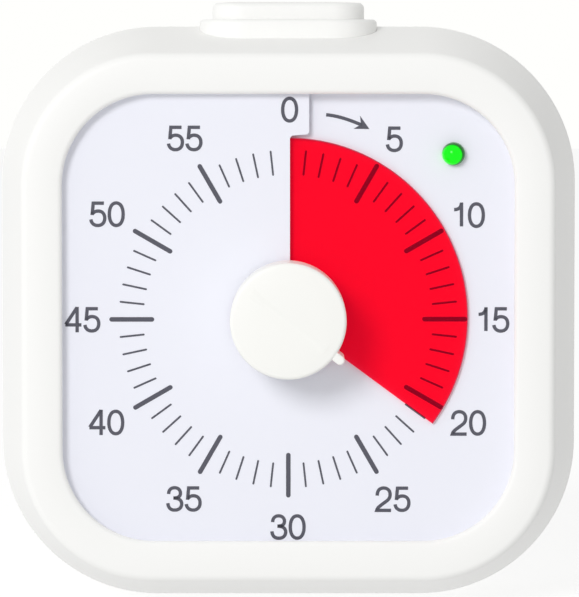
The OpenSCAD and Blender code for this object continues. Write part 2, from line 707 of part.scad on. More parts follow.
module led() color("lime") face() at(led_at) {
    level = dial_z + spiral_rise / 8;
    rod(led_dia, tray_z + 0.6, level + 0.5);
    intersection() {
        translate([0, 0, level + 0.5]) sphere(d = led_dia);
        rod(led_dia + 1, level + 0.5 - eps, level + 5);
    }
    rod(led_dia + 0.9, tray_z, tray_z + 0.8);
    for (s = [-1, 1]) translate([s * 0.7, 0, 0]) rod(0.5, base_z - 4, tray_z + eps);
}

module battery_cell() color("steelblue") translate([0, cell_y, cell_up]) rotate([0, 90, 0])
    translate([0, 0, -cell_len / 2]) {
        cylinder(d = cell_dia, h = cell_len - 1);
        translate([0, 0, cell_len - 1 - eps]) cylinder(d = 5.5, h = 1 + eps);
    }

// A round wire wound in a helix about z, from height z0 up to z1, from diameter d0 to d1.
module helix(wire, d0, d1, z0, z1, turns) {
    sides = 6;
    n = 16 * turns;
    up = z1 - z0 - wire;
    points = [for (i = [0:n], j = [0:sides - 1])
        let (t = i / n, a = 360 * turns * t, b = 360 * j / sides,
             r = (d0 + (d1 - d0) * t - wire) / 2 + wire / 2 * cos(b))
        [r * cos(a), r * sin(a), z0 + wire / 2 + up * t + wire / 2 * sin(b)]];
    polyhedron(points, concat(
        [[for (j = [sides - 1:-1:0]) j], [for (j = [0:sides - 1]) n * sides + j]],
        [for (i = [0:n - 1], j = [0:sides - 1])
            let (q = i * sides + j, s = i * sides + (j + 1) % sides)
            [q, s, s + sides, q + sides]]));
}

// Both contacts are plates against the ends of the bay; one has a dimple and one a spring.
contact_t = 0.5;
contact_room = bay_half - cell_len / 2 - 2 * seat;
module contact_plate() color("silver") translate([bay_half - seat, cell_y, cell_up]) rotate([0, -90, 0]) {
    translate([-contact_w / 2, -contact_w / 2, 0]) cube([contact_w, contact_w, contact_t]);
    cylinder(d1 = contact_w / 2, d2 = 3, h = contact_room);
}
module contact_spring() color("silver") translate([-bay_half + seat, cell_y, cell_up]) rotate([0, 90, 0]) {
    translate([-contact_w / 2, -contact_w / 2, 0]) cube([contact_w, contact_w, contact_t]);
    helix(0.5, contact_w - 2, contact_w / 2, contact_t - 0.1, contact_room, 2);
}

// The volume switch stands on the back of the board, and its slider reaches through the case.
slot_gap = 0.2;
tongue_in = 1.2;
module volume_switch() color("silver") translate([volume_x, board_y + board_t, board_mid]) difference() {
    translate([-switch_w / 2, 0, -switch_d / 2]) cube([switch_w, switch_h, switch_d]);
    translate([-slider_w / 2 - volume_travel - slot_gap, switch_h - tongue_in - air, -slider_h / 3 - air])
        cube([slider_w + 2 * (volume_travel + slot_gap), tongue_in + 1, 2 * (slider_h / 3 + air)]);
}
module volume_slider() color("dimgray") translate([volume_x, 0, board_mid]) {
    foot = board_y + board_t + switch_h;
    difference() {
        translate([-slider_w / 2, foot + slot_gap, -slider_h / 2])
            cube([slider_w, back_y - foot - slot_gap, slider_h]);
        for (i = [-1:1]) translate([i * 1.1 - 0.25, back_y - 0.4, -slider_h]) cube([0.5, 1, 2 * slider_h]);
    }
    translate([-slider_w / 2, foot - tongue_in, -slider_h / 3])
        cube([slider_w, tongue_in + slot_gap + eps, 2 * slider_h / 3]);
}

// The collar is a cup that is held between the shells and guides the button.
module button_collar() color("white") translate([0, button_y, 0]) difference() {
    union() {
        pill(collar_w, collar_d, cage_floor, collar_top);
        pill(collar_w + 2 * flange_out, collar_d + 2 * flange_out, flange_top - flange_t, flange_top);
    }
    pill(collar_w - 2 * collar_rim + 2 * button_gap, collar_d - 2 * collar_rim + 2 * button_gap,
         flange_top, collar_top + eps);
    pill(collar_w - 2 * collar_rim + 2, collar_d - 2 * collar_rim + 2, cage_floor + cage_t, flange_top + eps);
    rod(stem_dia + 2 * fit, cage_floor - eps, flange_top);
}

module top_button() color("white") translate([0, button_y, 0]) {
    w = collar_w - 2 * collar_rim;
    d = collar_d - 2 * collar_rim;
    pill(w, d, flange_top - seat - eps, button_top - 0.8);
    pill(w - 0.6, d - 0.6, button_top - 0.8 - eps, button_top - 0.3);
    pill(w - 1.6, d - 1.6, button_top - 0.3 - eps, button_top);
    pill(w + 1.4, d + 1.4, flange_top - seat - flange_t, flange_top - seat);
    rod(stem_dia, stem_end, flange_top - flange_t);
}

spring_turns = 5;
module button_spring() color("silver") translate([0, button_y, 0])
    helix(spring_wire, spring_dia, spring_dia, cage_floor + cage_t + seat, flange_top - flange_t - 2 * seat,
          spring_turns);

module tact_switch() color("black") translate([0, button_y, 0]) difference() {
    translate([-tact_w / 2, -tact_d / 2, tact_low])
        cube([tact_w, board_y - button_y + tact_d / 2, tact_top - tact_low]);
    rod(plunger_dia + 4 * fit, tact_low + 0.5, stem_end);
}
module switch_plunger() color("dimgray") translate([0, button_y, 0])
    rod(plunger_dia, stem_end - plunger_len, stem_end - eps);

// A screw along z: its head sits on z0, and its shank runs up from there.
module screw(shank, head, z0, length) difference() {
    union() {
        rod(shank, z0, z0 + length);
        rod(head, z0 - shank * 0.6, z0);
    }
    for (a = [0, 90]) rotate(a) translate([-head * 0.3, -0.25, z0 - shank])
        cube([head * 0.6, 0.5, shank * 0.7]);
}

module case_screws() color("silver") face() corners()
    screw(screw_dia - 2 * seat, boss_dia - 1.6, -seam_d - boss_floor, boss_floor + boss_screw);
module tray_screws() color("silver") face() sides()
    screw(small_screw_dia - 2 * seat, small_head_dia - 0.4, base_z, tray_t + 2.2);
module movement_screws() color("silver") face() movement_corners()
    screw(small_screw_dia - 2 * seat, small_head_dia, train_z, base_t + tray_t - 0.5);
module board_screws() color("silver") for (sx = [-1, 1]) board_place(sx)
    screw(small_screw_dia - 2 * seat, small_head_dia, board_y, board_t + 4);

front_bezel();
rear_case();
battery_door();
dial_card();
dial_tray();
red_film();
film_hub();
knob();
knob_shaft();
clutch_spring();
shaft_clip();
movement_base();
movement_cover();
centre_wheel();
third_wheel();
second_wheel();
rotor();
stator();
coil();
circuit_board();
crystal();
sounder();
led();
battery_cell();
contact_spring();
contact_plate();
volume_switch();
volume_slider();
button_collar();
top_button();
button_spring();
tact_switch();
switch_plunger();
case_screws();
tray_screws();
movement_screws();
board_screws();
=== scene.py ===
"""Looks of the visual countdown timer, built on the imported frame.

Sizes are millimetres and meshes are metres. The row frame is the CAD's own. The face frame has x
to the right, y up and z towards the viewer, with its zero on the dial axis in the plane of the
front ring.
"""

from __future__ import annotations

import logging
import math
from dataclasses import dataclass, field
from enum import Enum
from functools import cache
from typing import Iterable, Sequence

import bmesh  # noqa: E402
import bpy  # noqa: E402
from mathutils import Matrix, Vector  # noqa: E402


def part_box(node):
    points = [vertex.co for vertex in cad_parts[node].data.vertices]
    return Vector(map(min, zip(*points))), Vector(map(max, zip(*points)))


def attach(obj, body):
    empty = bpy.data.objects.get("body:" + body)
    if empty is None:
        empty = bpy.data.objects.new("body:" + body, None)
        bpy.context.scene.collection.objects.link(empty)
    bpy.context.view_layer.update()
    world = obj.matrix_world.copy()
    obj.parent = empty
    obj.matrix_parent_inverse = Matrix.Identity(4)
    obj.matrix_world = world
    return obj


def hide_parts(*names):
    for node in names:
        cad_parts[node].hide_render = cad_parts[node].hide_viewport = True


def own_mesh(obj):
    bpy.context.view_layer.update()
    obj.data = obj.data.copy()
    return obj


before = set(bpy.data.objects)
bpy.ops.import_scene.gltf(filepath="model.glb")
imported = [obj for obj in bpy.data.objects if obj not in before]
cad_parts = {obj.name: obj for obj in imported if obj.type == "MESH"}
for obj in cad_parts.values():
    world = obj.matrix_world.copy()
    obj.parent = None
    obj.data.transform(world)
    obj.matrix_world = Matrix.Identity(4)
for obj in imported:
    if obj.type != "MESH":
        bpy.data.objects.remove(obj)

LOG = logging.getLogger("timer")
MM = 0.001
TURN = math.tau
# How far a cutter reaches past what it cuts, and how far a joined piece reaches into its neighbour.
PAST = 1.0
BITE = 0.5
# A length in millimetres, and one in metres for meshes, under which two points count as one.
TINY, SPECK = 1e-6, 1e-7
QUARTERS = ((1, 1), (-1, 1), (-1, -1), (1, -1))
Point = tuple[float, float, float]
Pair = tuple[float, float]
Object = bpy.types.Object
Node = bpy.types.Node
Tree = bpy.types.NodeTree
Socket = bpy.types.NodeSocket


# ---------------------------------------------------------------- places from the frame


def low(node: str) -> Vector:
    """Lowest corner of a CAD node, in millimetres."""
    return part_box(node)[0] / MM


def high(node: str) -> Vector:
    """Highest corner of a CAD node, in millimetres."""
    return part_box(node)[1] / MM


def middle(node: str) -> Vector:
    """Centre of a CAD node's box, in millimetres."""
    return (low(node) + high(node)) / 2


def row(x: float, y: float, z: float) -> Vector:
    """A point of the row frame, from millimetres to metres."""
    return Vector((x, y, z)) * MM


@dataclass(frozen=True)
class FaceFrame:
    """The dial's own axes, as a plane and an axis of the row frame."""

    front: float = low("front_bezel").y
    axis: float = middle("knob_shaft").z

    def place(self, x: float, y: float, z: float) -> Vector:
        """A point of the face frame as metres of the row frame."""
        return row(x, self.front - z, self.axis + y)

    def depth(self, world_y: float) -> float:
        """The face frame's z of a depth in the row frame, both in millimetres."""
        return self.front - world_y

    def spot(self, node: str) -> Pair:
        """Where the centre of a CAD node lies, across and up from the dial axis."""
        centre = middle(node)
        return centre.x, centre.z - self.axis


FACE = FaceFrame()


@dataclass(frozen=True)
class CaseShape:
    """Outline that both shells share: straight sides between round corners."""

    corner_r: float = 24.3
    wall: float = 2.2
    shoulder_r: float = 1.4
    flank_in: float = 3.95
    ring_w: float = 6.4
    ring_crown: float = 0.12
    undercut: float = 0.7
    seam_edge: float = 0.12
    corner_steps: int = 28
    width: float = high("front_bezel").x - low("front_bezel").x
    height: float = high("rear_case").z - low("rear_case").z
    seam: float = FACE.depth(high("front_bezel").y)
    back: float = FACE.depth(high("rear_case").y)
    dial_back: float = FACE.depth(low("dial_tray").y)

    @property
    def half_x(self) -> float:
        """Distance of the corner centres from the axis, sideways."""
        return self.width / 2 - self.corner_r

    @property
    def half_y(self) -> float:
        """Distance of the corner centres from the middle, up and down."""
        return self.height / 2 - self.corner_r

    @property
    def drop(self) -> float:
        """Height of the middle of the case above the dial axis."""
        return self.height / 2 - FACE.axis

    @property
    def opening_u(self) -> float:
        """Corner radius of the dial opening."""
        return self.corner_r - self.flank_in - self.ring_w

    @property
    def slope(self) -> float:
        """How far the front shell's flank slopes in for each millimetre of depth."""
        return self.flank_in / (-self.seam - self.shoulder_r)

    def loop(self, u: float, z: float) -> list[Vector]:
        """The outline at distance u out from the corner centres, at depth z.

        Args:
            u: Corner radius of the loop.
            z: Depth in the face frame.

        Returns:
            The loop's points, counter-clockwise as seen by the viewer.
        """
        points = []
        for k, (sx, sy) in enumerate(QUARTERS):
            for i in range(self.corner_steps + 1):
                a = math.radians(90 * (k + i / self.corner_steps))
                x = sx * self.half_x + u * math.cos(a)
                y = sy * self.half_y + self.drop + u * math.sin(a)
                points.append(FACE.place(x, y, z))
        return points


CASE = CaseShape()


# ---------------------------------------------------------------- curves and outlines


def arc(cx: float, cy: float, r: float, start: float, end: float, steps: int) -> list[Pair]:
    """Points of an arc, with its angles in degrees.

    Args:
        cx: Centre across.
        cy: Centre up.
        r: Radius.
        start: First angle.
        end: Last angle.
        steps: Number of stretches.

    Returns:
        The points, ends included.
    """
    angles = (math.radians(start + (end - start) * i / steps) for i in range(steps + 1))
    return [(cx + r * math.cos(a), cy + r * math.sin(a)) for a in angles]


def bezier(start: Pair, *curves: Sequence[Pair], steps: int = 10) -> list[Pair]:
    """A path of cubic curves and straight stretches.

    Args:
        start: First point.
        curves: Each has two handles and an end, or an end alone for a straight stretch.
        steps: Stretches of one curve.

    Returns:
        The path's points.
    """
    path = [start]
    for curve in curves:
        if len(curve) == 1:
            path.append(curve[0])
            continue
        p0, (p1, p2, p3) = path[-1], curve
        for i in range(1, steps + 1):
            t = i / steps
            w = ((1 - t) ** 3, 3 * t * (1 - t) ** 2, 3 * t * t * (1 - t), t**3)
            path.append(tuple(sum(k * p[j] for k, p in zip(w, (p0, p1, p2, p3))) for j in (0, 1)))
    return path


def pill(w: float, d: float, z: float, cy: float, steps: int = 24) -> list[Vector]:
    """A round-ended loop in the row frame, w wide and d deep, about (0, cy) at height z."""
    ends = []
    for side, start in ((1, -90), (-1, 90)):
        ends += arc(side * (w - d) / 2, cy, d / 2, start, start + 180, steps)
    return [row(x, y, z) for x, y in ends]


def ring_of(r: float, count: int) -> list[Pair]:
    """A circle of count points."""
    return [(r * math.cos(TURN * i / count), r * math.sin(TURN * i / count)) for i in range(count)]


def rectangle(w: float, h: float) -> list[Pair]:
    """The corners of a rectangle about zero."""
    return [(-w / 2, -h / 2), (w / 2, -h / 2), (w / 2, h / 2), (-w / 2, h / 2)]


def round_plate(w: float, h: float, r: float, cy: float, steps: int = 8) -> list[Pair]:
    """Outline of a plate with round corners, about (0, cy)."""
    corners_at = ((sx * (w / 2 - r), cy + sy * (h / 2 - r)) for sx, sy in QUARTERS)
    return [p for k, (x, y) in enumerate(corners_at) for p in arc(x, y, r, 90 * k, 90 * k + 90, steps)]


# ---------------------------------------------------------------- meshes


class Join(Enum):
    """What a tool does to the piece that it meets."""

    AWAY = "DIFFERENCE"
    ON = "UNION"


def new_object(name: str, mesh: bpy.types.Mesh | None = None) -> Object:
    """An object for a mesh, or for an empty one, linked into the scene."""
    made = bpy.data.objects.new(name, mesh or bpy.data.meshes.new(name))
    bpy.context.scene.collection.objects.link(made)
    return made


def plain(name: str, points: Sequence[Vector], faces: Sequence[Sequence[int]] = ()) -> Object:
    """A mesh object as its points and faces are given."""
    made = new_object(name)
    made.data.from_pydata(points, [], faces)
    return made


def solid(name: str, points: Sequence[Vector], faces: Sequence[Sequence[int]]) -> Object:
    """A mesh object whose normals point outwards."""
    made = new_object(name)
    work = bmesh.new()
    verts = [work.verts.new(p) for p in points]
    for face in faces:
        work.faces.new([verts[i] for i in face])
    bmesh.ops.recalc_face_normals(work, faces=work.faces)
    work.to_mesh(made.data)
    work.free()
    return made


def loft(name: str, loops: Sequence[Sequence[Vector]], ring: bool = False) -> Object:
    """A closed solid through loops that have the same number of points.

    Args:
        name: Name of the object.
        loops: The loops, in order.
        ring: True if the last loop meets the first, and False for flat ends.

    Returns:
        The object.
    """
    n, m = len(loops[0]), len(loops)
    points = [p for loop in loops for p in loop]
    faces = []
    for j in range(m if ring else m - 1):
        a, b = j * n, (j + 1) % m * n
        faces += [(a + i, a + (i + 1) % n, b + (i + 1) % n, b + i) for i in range(n)]
    if not ring:
        faces += [tuple(range(n)), tuple(range((m - 1) * n, m * n))]
    return solid(name, points, faces)


def sheet(name: str, rows: Sequence[Sequence[Point]], thick: float) -> Object:
    """A thin closed sheet from a grid of face-frame points on its front.

    Args:
        name: Name of the object.
        rows: Rows with the same number of points.
        thick: Thickness behind the front.

    Returns:
        The object.
    """
    n, m = len(rows[0]), len(rows)
    grid = [p for line in rows for p in line]
    points = [FACE.place(x, y, z - deep) for deep in (0, thick) for x, y, z in grid]
    back = n * m
    faces = []
    for q in (j * n + i for j in range(m - 1) for i in range(n - 1)):
        faces.append((q, q + 1, q + n + 1, q + n))
        faces.append((back + q, back + q + n, back + q + n + 1, back + q + 1))
    rim = [*range(n), *(j * n + n - 1 for j in range(1, m)), *range(n * m - 2, n * (m - 1) - 1, -1)]
    rim += [j * n for j in range(m - 2, 0, -1)]
    faces += [(p, q, back + q, back + p) for p, q in zip(rim, rim[1:] + rim[:1])]
    return solid(name, points, faces)


def lathe(name: str, profile: Sequence[Pair], at: Pair = (0, 0), count: int = 96) -> Object:
    """A solid of revolution about a line along the face frame's z.

    Args:
        name: Name of the object.
        profile: (radius, z) from one end to the other; an end may lie on the line.
        at: Place of the line.
        count: Points round it.

    Returns:
        The object.
    """
    points, faces, rows = [], [], []
    for r, z in profile:
        on_line = r < TINY
        rows.append([len(points) + (0 if on_line else i) for i in range(count)])
        around = [(0, 0)] if on_line else ring_of(r, count)
        points += [FACE.place(at[0] + x, at[1] + y, z) for x, y in around]
    for one, two in zip(rows, rows[1:]):
        for i in range(count):
            k = (i + 1) % count
            faces.append(tuple(dict.fromkeys((one[i], one[k], two[k], two[i]))))
    faces += [tuple(end) for end in (rows[0], rows[-1]) if end[0] != end[1]]
    return solid(name, points, faces)


def prism(name: str, outline: Sequence[Pair], z0: float, z1: float) -> Object:
    """A face-frame outline drawn out from depth z0 to z1."""
    return loft(name, [[FACE.place(x, y, z) for x, y in outline] for z in (z0, z1)])


def block(name: str, corner: Point, size: Point) -> Object:
    """A box in the row frame, from its lowest corner, in millimetres."""
    (x, y, z), (w, d, h) = corner, size
    sides = ((x, y), (x + w, y), (x + w, y + d), (x, y + d))
    return loft(name, [[row(a, b, level) for a, b in sides] for level in (z, z + h)])


def rod(name: str, at: Pair, dia: float, z0: float, z1: float, count: int = 40) -> Object:
    """A cylinder along the face frame's z."""
    return lathe(name, [(dia / 2, z0), (dia / 2, z1)], at, count)


def settle(piece: Object) -> Object:
    """Turns the piece's modifiers into a plain mesh."""
    graph = bpy.context.evaluated_depsgraph_get()
    graph.update()
    made = bpy.data.meshes.new_from_object(piece.evaluated_get(graph))
    piece.modifiers.clear()
    piece.data = made
    return piece


def combine(piece: Object, tools: Iterable[Object], how: Join) -> Object:
    """Adds tools to a piece or takes them away, and removes the tools.

    Args:
        piece: The piece that stays.
        tools: Closed solids.
        how: Whether they are taken away or joined on.

    Returns:
        The piece.
    """
    tools = list(tools)
    for tool in tools:
        step = piece.modifiers.new("combine", "BOOLEAN")
        step.operation = how.value
        step.solver = "MANIFOLD"
        step.object = tool
    settle(piece)
    for tool in tools:
        bpy.data.objects.remove(tool)
    return piece


def smooth(piece: Object, angle: float = 32) -> Object:
    """Smooth shading with edges kept sharp past an angle in degrees."""
    work = bmesh.new()
    work.from_mesh(piece.data)
    bmesh.ops.dissolve_degenerate(work, dist=SPECK, edges=work.edges)
    work.to_mesh(piece.data)
    work.free()
    piece.data.shade_smooth()
    piece.data.set_sharp_from_angle(angle=math.radians(angle))
    return piece


# ---------------------------------------------------------------- finishes


def linear(code: str) -> tuple[float, float, float, float]:
    """A colour's #rrggbb code as linear light."""
    parts = [int(code[i : i + 2], 16) / 255 for i in (1, 3, 5)]
    return (*(p / 12.92 if p <= 0.04045 else ((p + 0.055) / 1.055) ** 2.4 for p in parts), 1.0)


def add_node(tree: Tree, kind: str, values: dict | None = None, **facts: object) -> Node:
    """Adds a node to a tree.

    Args:
        tree: Shader or geometry tree.
        kind: Blender's name for the node.
        values: For each input, its value, the socket that feeds it, or a node whose first output does.
        facts: The node's own settings.

    Returns:
        The node.
    """
    node = tree.nodes.new(kind)
    for name, value in facts.items():
        setattr(node, name, value)
    for name, value in (values or {}).items():
        if isinstance(value, (Node, Socket)):
            tree.links.new(value.outputs[0] if isinstance(value, Node) else value, node.inputs[name])
        else:
            node.inputs[name].default_value = value
    return node


def empty_tree(owner: bpy.types.Material | bpy.types.World) -> Tree:
    """The node tree of a material or a world, with nothing in it."""
    owner.use_nodes = True
    owner.node_tree.nodes.clear()
    return owner.node_tree


@dataclass(frozen=True)
class Look:
    """What a piece is made of."""

    name: str

    def surface(self, tree: Tree) -> Node:
        """The shader that the surface shows, made in a tree."""
        raise NotImplementedError

    @cache
    def material(self) -> bpy.types.Material:
        """The material in Blender, made once."""
        made = bpy.data.materials.new(self.name)
        tree = empty_tree(made)
        add_node(tree, "ShaderNodeOutputMaterial", {"Surface": self.surface(tree)})
        return made


class Grain(Enum):
    """Kinds of fine relief on a surface."""

    NONE = "none"
    SPARK = "spark-eroded mould texture"
    BRUSHED = "brushed along one axis"
    WOUND = "turns of wire"
    FIBRE = "glass cloth"


# How much a grain is stretched along each axis; the smaller the number, the longer its streaks.
STRETCH: dict[Grain, Point] = {Grain.BRUSHED: (0.05, 1, 1), Grain.FIBRE: (1, 0.2, 1)}
# The Mix node's two colour inputs and its colour output, whose names its other kinds share.
COLOUR_A, COLOUR_B, COLOUR_OUT = 6, 7, 2


@dataclass(frozen=True)
class Finish(Look):
    """A plain opaque finish."""

    colour: str
    rough: float
    metal: float = 0.0
    coat: float = 0.0
    specular: float = 0.5
    grain: Grain = Grain.NONE
    grain_mm: float = 0.3
    relief: float = 0.05

    def height(self, tree: Tree) -> Socket:
        """The height field of the grain."""
        where = add_node(tree, "ShaderNodeTexCoord").outputs["Object"]
        per_m = 1 / (self.grain_mm * MM)
        if self.grain is Grain.WOUND:
            turns = {"Vector": where, "Scale": per_m / TURN}
            return add_node(tree, "ShaderNodeTexWave", turns, bands_direction="X").outputs["Fac"]
        stretch = STRETCH.get(self.grain, (1, 1, 1))
        moved = add_node(tree, "ShaderNodeMapping", {"Vector": where, "Scale": stretch})
        values = {"Vector": moved, "Scale": per_m, "Detail": 2.0}
        return add_node(tree, "ShaderNodeTexNoise", values).outputs["Fac"]

    def surface(self, tree: Tree) -> Node:
        """A Principled surface that the grain roughens."""
        values = {
            "Base Color": linear(self.colour),
            "Roughness": self.rough,
            "Metallic": self.metal,
            "Coat Weight": self.coat,
            "Specular IOR Level": self.specular,
        }
        if self.grain is not Grain.NONE:
            bump = {"Height": self.height(tree), "Strength": self.relief, "Distance": self.grain_mm * MM}
            values["Normal"] = add_node(tree, "ShaderNodeBump", bump)
        return add_node(tree, "ShaderNodeBsdfPrincipled", values)


@dataclass(frozen=True)
class ClearFilm(Look):
    """A coloured film that the printed dial shows through, with a painted glow."""

    tint: str
    body: str
    haze: float
    rough: float
    glow: str
    painted_glow_power: float

    def surface(self, tree: Tree) -> Node:
        """Clear tinted film with a little haze in it, whose emission is painted light that keeps the film
        bright in shade.
        """
        clear = add_node(tree, "ShaderNodeBsdfTransparent", {"Color": linear(self.tint)})
        values = {
            "Base Color": linear(self.body),
            "Roughness": self.rough,
            "Emission Color": linear(self.glow),
            "Emission Strength": self.painted_glow_power,
        }
        body = add_node(tree, "ShaderNodeBsdfPrincipled", values)
        return add_node(tree, "ShaderNodeMixShader", {"Fac": self.haze, 1: clear, 2: body})


@dataclass(frozen=True)
class LitLens(Look):
    """A lamp's lens that glows from inside, with a rim of painted shade about a centre of its own."""

    body: str
    glow: str
    painted_rim: str
    power: float
    centre: Point
    rim: Pair
    rough: float = 0.12
    specular: float = 0.2

    def surface(self, tree: Tree) -> Node:
        """A glossy lens whose glow falls off from the centre line to the painted shade of the rim."""
        where = add_node(tree, "ShaderNodeTexCoord").outputs["Object"]
        apart = add_node(tree, "ShaderNodeVectorMath", {0: where, 1: self.centre}, operation="SUBTRACT")
        level = add_node(tree, "ShaderNodeVectorMath", {0: apart, 1: (1, 0, 1)}, operation="MULTIPLY")
        out = add_node(tree, "ShaderNodeVectorMath", {0: level}, operation="LENGTH").outputs["Value"]
        span = {"Value": out, "From Min": self.rim[0] * MM, "From Max": self.rim[1] * MM}
        part = add_node(tree, "ShaderNodeMapRange", span, interpolation_type="SMOOTHSTEP")
        ends = {"Factor": part, COLOUR_A: linear(self.glow), COLOUR_B: linear(self.painted_rim)}
        glow = add_node(tree, "ShaderNodeMix", ends, data_type="RGBA", clamp_factor=True)
        values = {
            "Base Color": linear(self.body),
            "Roughness": self.rough,
            "Specular IOR Level": self.specular,
            "Emission Color": glow.outputs[COLOUR_OUT],
            "Emission Strength": self.power,
        }
        return add_node(tree, "ShaderNodeBsdfPrincipled", values)


# Moulded ABS of the shells: off-white, with a fine spark-eroded texture.
SHELL_ABS = Finish("shell_abs", "#f7f7f5", 0.45, specular=0.3, grain=Grain.SPARK, grain_mm=0.25, relief=0.06)
# The knob's ABS is a little glossier.
KNOB_ABS = Finish("knob_abs", "#f8f8f4", 0.38, grain=Grain.SPARK, grain_mm=0.2, relief=0.03)
# Printed polystyrene sheet of the dial.
CARD_PS = Finish("card_polystyrene", "#eeeff8", 0.6)
# Dark grey screen ink.
DIAL_INK = Finish("dial_ink", "#4b4b57", 0.55)
# Red PET film; its emission is a painted glow, no lamp, that keeps the red bright in shade.
RED_PET = ClearFilm("red_pet_film", "#fe7f9a", "#ff2145", 0.03, 0.35, "#ff2070", 1.7)
# Painted shade: a dark band along the film's outer edge, standing in for the shade at that edge.
FILM_EDGE_SHADE = Finish("film_edge_painted_shade", "#b4405c", 0.5)
# Turned steel of the shaft, lightly brushed.
STEEL = Finish("turned_steel", "#b9bbbd", 0.3, metal=1, grain=Grain.BRUSHED, grain_mm=0.1, relief=0.05)
# Zinc-plated steel of the screws.
ZINC = Finish("zinc_plated_steel", "#c3c5c8", 0.35, metal=1)
# Nickel-plated spring steel.
NICKEL = Finish("nickel_plated_spring", "#c8c6c0", 0.22, metal=1)
# Phosphor bronze of the clutch spring.
BRONZE = Finish("phosphor_bronze", "#c79a55", 0.3, metal=1)
# Natural acetal of the hub and the movement plate, and a yellower one for the wheels.
ACETAL = Finish("natural_acetal", "#ece8da", 0.4)
WHEEL_ACETAL = Finish("wheel_acetal", "#e3d8b4", 0.35)
# Matt ABS of the tray.
TRAY_ABS = Finish("tray_abs", "#e4e4e2", 0.55, grain=Grain.SPARK, grain_mm=0.3, relief=0.05)
# Dark ABS of the movement cover.
COVER_ABS = Finish("cover_abs", "#2c2d30", 0.5, grain=Grain.SPARK, grain_mm=0.3, relief=0.08)
# Bonded ferrite magnet.
FERRITE = Finish("bonded_ferrite", "#38383c", 0.6, grain=Grain.SPARK, grain_mm=0.1, relief=0.1)
# Soft iron sheet.
IRON = Finish("soft_iron", "#8d9093", 0.4, metal=1, grain=Grain.BRUSHED, grain_mm=0.1, relief=0.06)
# Enamelled copper wire.
COPPER = Finish("enamelled_copper", "#b8622d", 0.3, metal=1, grain=Grain.WOUND, grain_mm=0.25, relief=0.6)
# Green solder mask over glass cloth.
SOLDER_MASK = Finish("solder_mask", "#1f6b35", 0.3, coat=0.4, grain=Grain.FIBRE, grain_mm=0.25, relief=0.08)
# Black nylon of the switches, the plunger and the sounder.
NYLON = Finish("black_nylon", "#1b1b1d", 0.45, grain=Grain.SPARK, grain_mm=0.2, relief=0.06)
# Unmarked blue shrink sleeve of the cell.
SLEEVE = Finish("cell_sleeve", "#3a5f96", 0.25, coat=0.5)

# The CAD meshes that stay, by finish.
INNER: dict[Finish, str] = {
    TRAY_ABS: "dial_tray",
    ACETAL: "film_hub movement_base",
    STEEL: "knob_shaft",
    BRONZE: "clutch_spring",
    NICKEL: "shaft_clip crystal contact_plate volume_switch",
    COVER_ABS: "movement_cover",
    WHEEL_ACETAL: "centre_wheel third_wheel second_wheel",
    FERRITE: "rotor",
    IRON: "stator",
    COPPER: "coil",
    SOLDER_MASK: "circuit_board",
    NYLON: "sounder volume_slider tact_switch switch_plunger",
    ZINC: "tray_screws movement_screws board_screws",
}


def paint_inner() -> None:
    """Gives the CAD meshes that stay their finishes."""
    for finish, nodes in INNER.items():
        for node in nodes.split():
            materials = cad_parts[node].data.materials
            materials.clear()
            materials.append(finish.material())
            LOG.info("%s: %s", node, finish.name)


def dress(piece: Object, body: str, look: Look, slot: str | None = None, *stands_for: str) -> Object:
    """Gives a piece its look and its body.

    Args:
        piece: The piece, in place.
        body: CAD body that it rides on.
        look: What it is made of.
        slot: Not used.
        stands_for: CAD nodes that it replaces.

    Returns:
        The piece.
    """
    piece.data.materials.clear()
    piece.data.materials.append(look.material())
    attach(piece, body)
    if stands_for:
        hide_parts(*stands_for)
    LOG.info("%s: %d faces on %s", piece.name, len(piece.data.polygons), body)
    return piece


# ---------------------------------------------------------------- geometry node trees


# Points of one turn of a spring, of its wire's section and of each round corner of a tick.
TURN_STEPS, WIRE_SIDES, TICK_STEPS = 40, 14, 6
# A tick's corners are rounded by a hair less than half its width.
ALMOST_HALF = 0.4999
# A random number's highest value and its output, whose names its other kinds share.
RANDOM_MAX, RANDOM_OUT = 3, 1


@dataclass
class NodeTool:
    """A geometry tree with named inputs, run on an object and turned into a plain mesh."""

    name: str
    kinds: dict[str, Sequence[str]]
    tree: Tree = field(init=False)
    inputs: Node = field(init=False)
    sockets: dict[str, str] = field(init=False, default_factory=dict)

    def __post_init__(self) -> None:
        """Makes the tree with its geometry sockets, its inputs by kind and one for the material."""
        self.tree = bpy.data.node_groups.new(self.name, "GeometryNodeTree")
        face = self.tree.interface
        for way in ("INPUT", "OUTPUT"):
            face.new_socket(name="Geometry", in_out=way, socket_type="NodeSocketGeometry")
        for kind, names in {**self.kinds, "Material": ["Material"]}.items():
            for name in names:
                made = face.new_socket(name=name, in_out="INPUT", socket_type=f"NodeSocket{kind}")
                self.sockets[name] = made.identifier
        self.inputs = self.add("NodeGroupInput")

    def add(self, kind: str, values: dict | None = None, **facts: object) -> Node:
        """Adds a node, as add_node does, but a value that is text names an input of the tool."""
        named = {}
        for key, value in (values or {}).items():
            named[key] = self.inputs.outputs[value] if isinstance(value, str) else value
        return add_node(self.tree, kind, named, **facts)

    def math(self, operation: str, *values: object) -> Node:
        """One sum on nodes, sockets, numbers and named inputs."""
        return self.add("ShaderNodeMath", dict(enumerate(values)), operation=operation)

    def finish(self, geometry: Node) -> NodeTool:
        """Ends the tree: real geometry, with the material that was asked for."""
        real = self.add("GeometryNodeRealizeInstances", {"Geometry": geometry})
        painted = self.add("GeometryNodeSetMaterial", {"Geometry": real, "Material": "Material"})
        self.add("NodeGroupOutput", {"Geometry": painted})
        return self

    def run(self, piece: Object, look: Look, values: dict[str, object]) -> Object:
        """Runs the tree on an object.

        Args:
            piece: The object that carries the modifier.
            look: What the result is made of.
            values: The value of each other input.

        Returns:
            The object, as a plain mesh.
        """
        step = piece.modifiers.new(self.name, "NODES")
        step.node_group = self.tree
        for name, value in {**values, "Material": look.material()}.items():
            step[self.sockets[name]] = value
        return settle(piece)


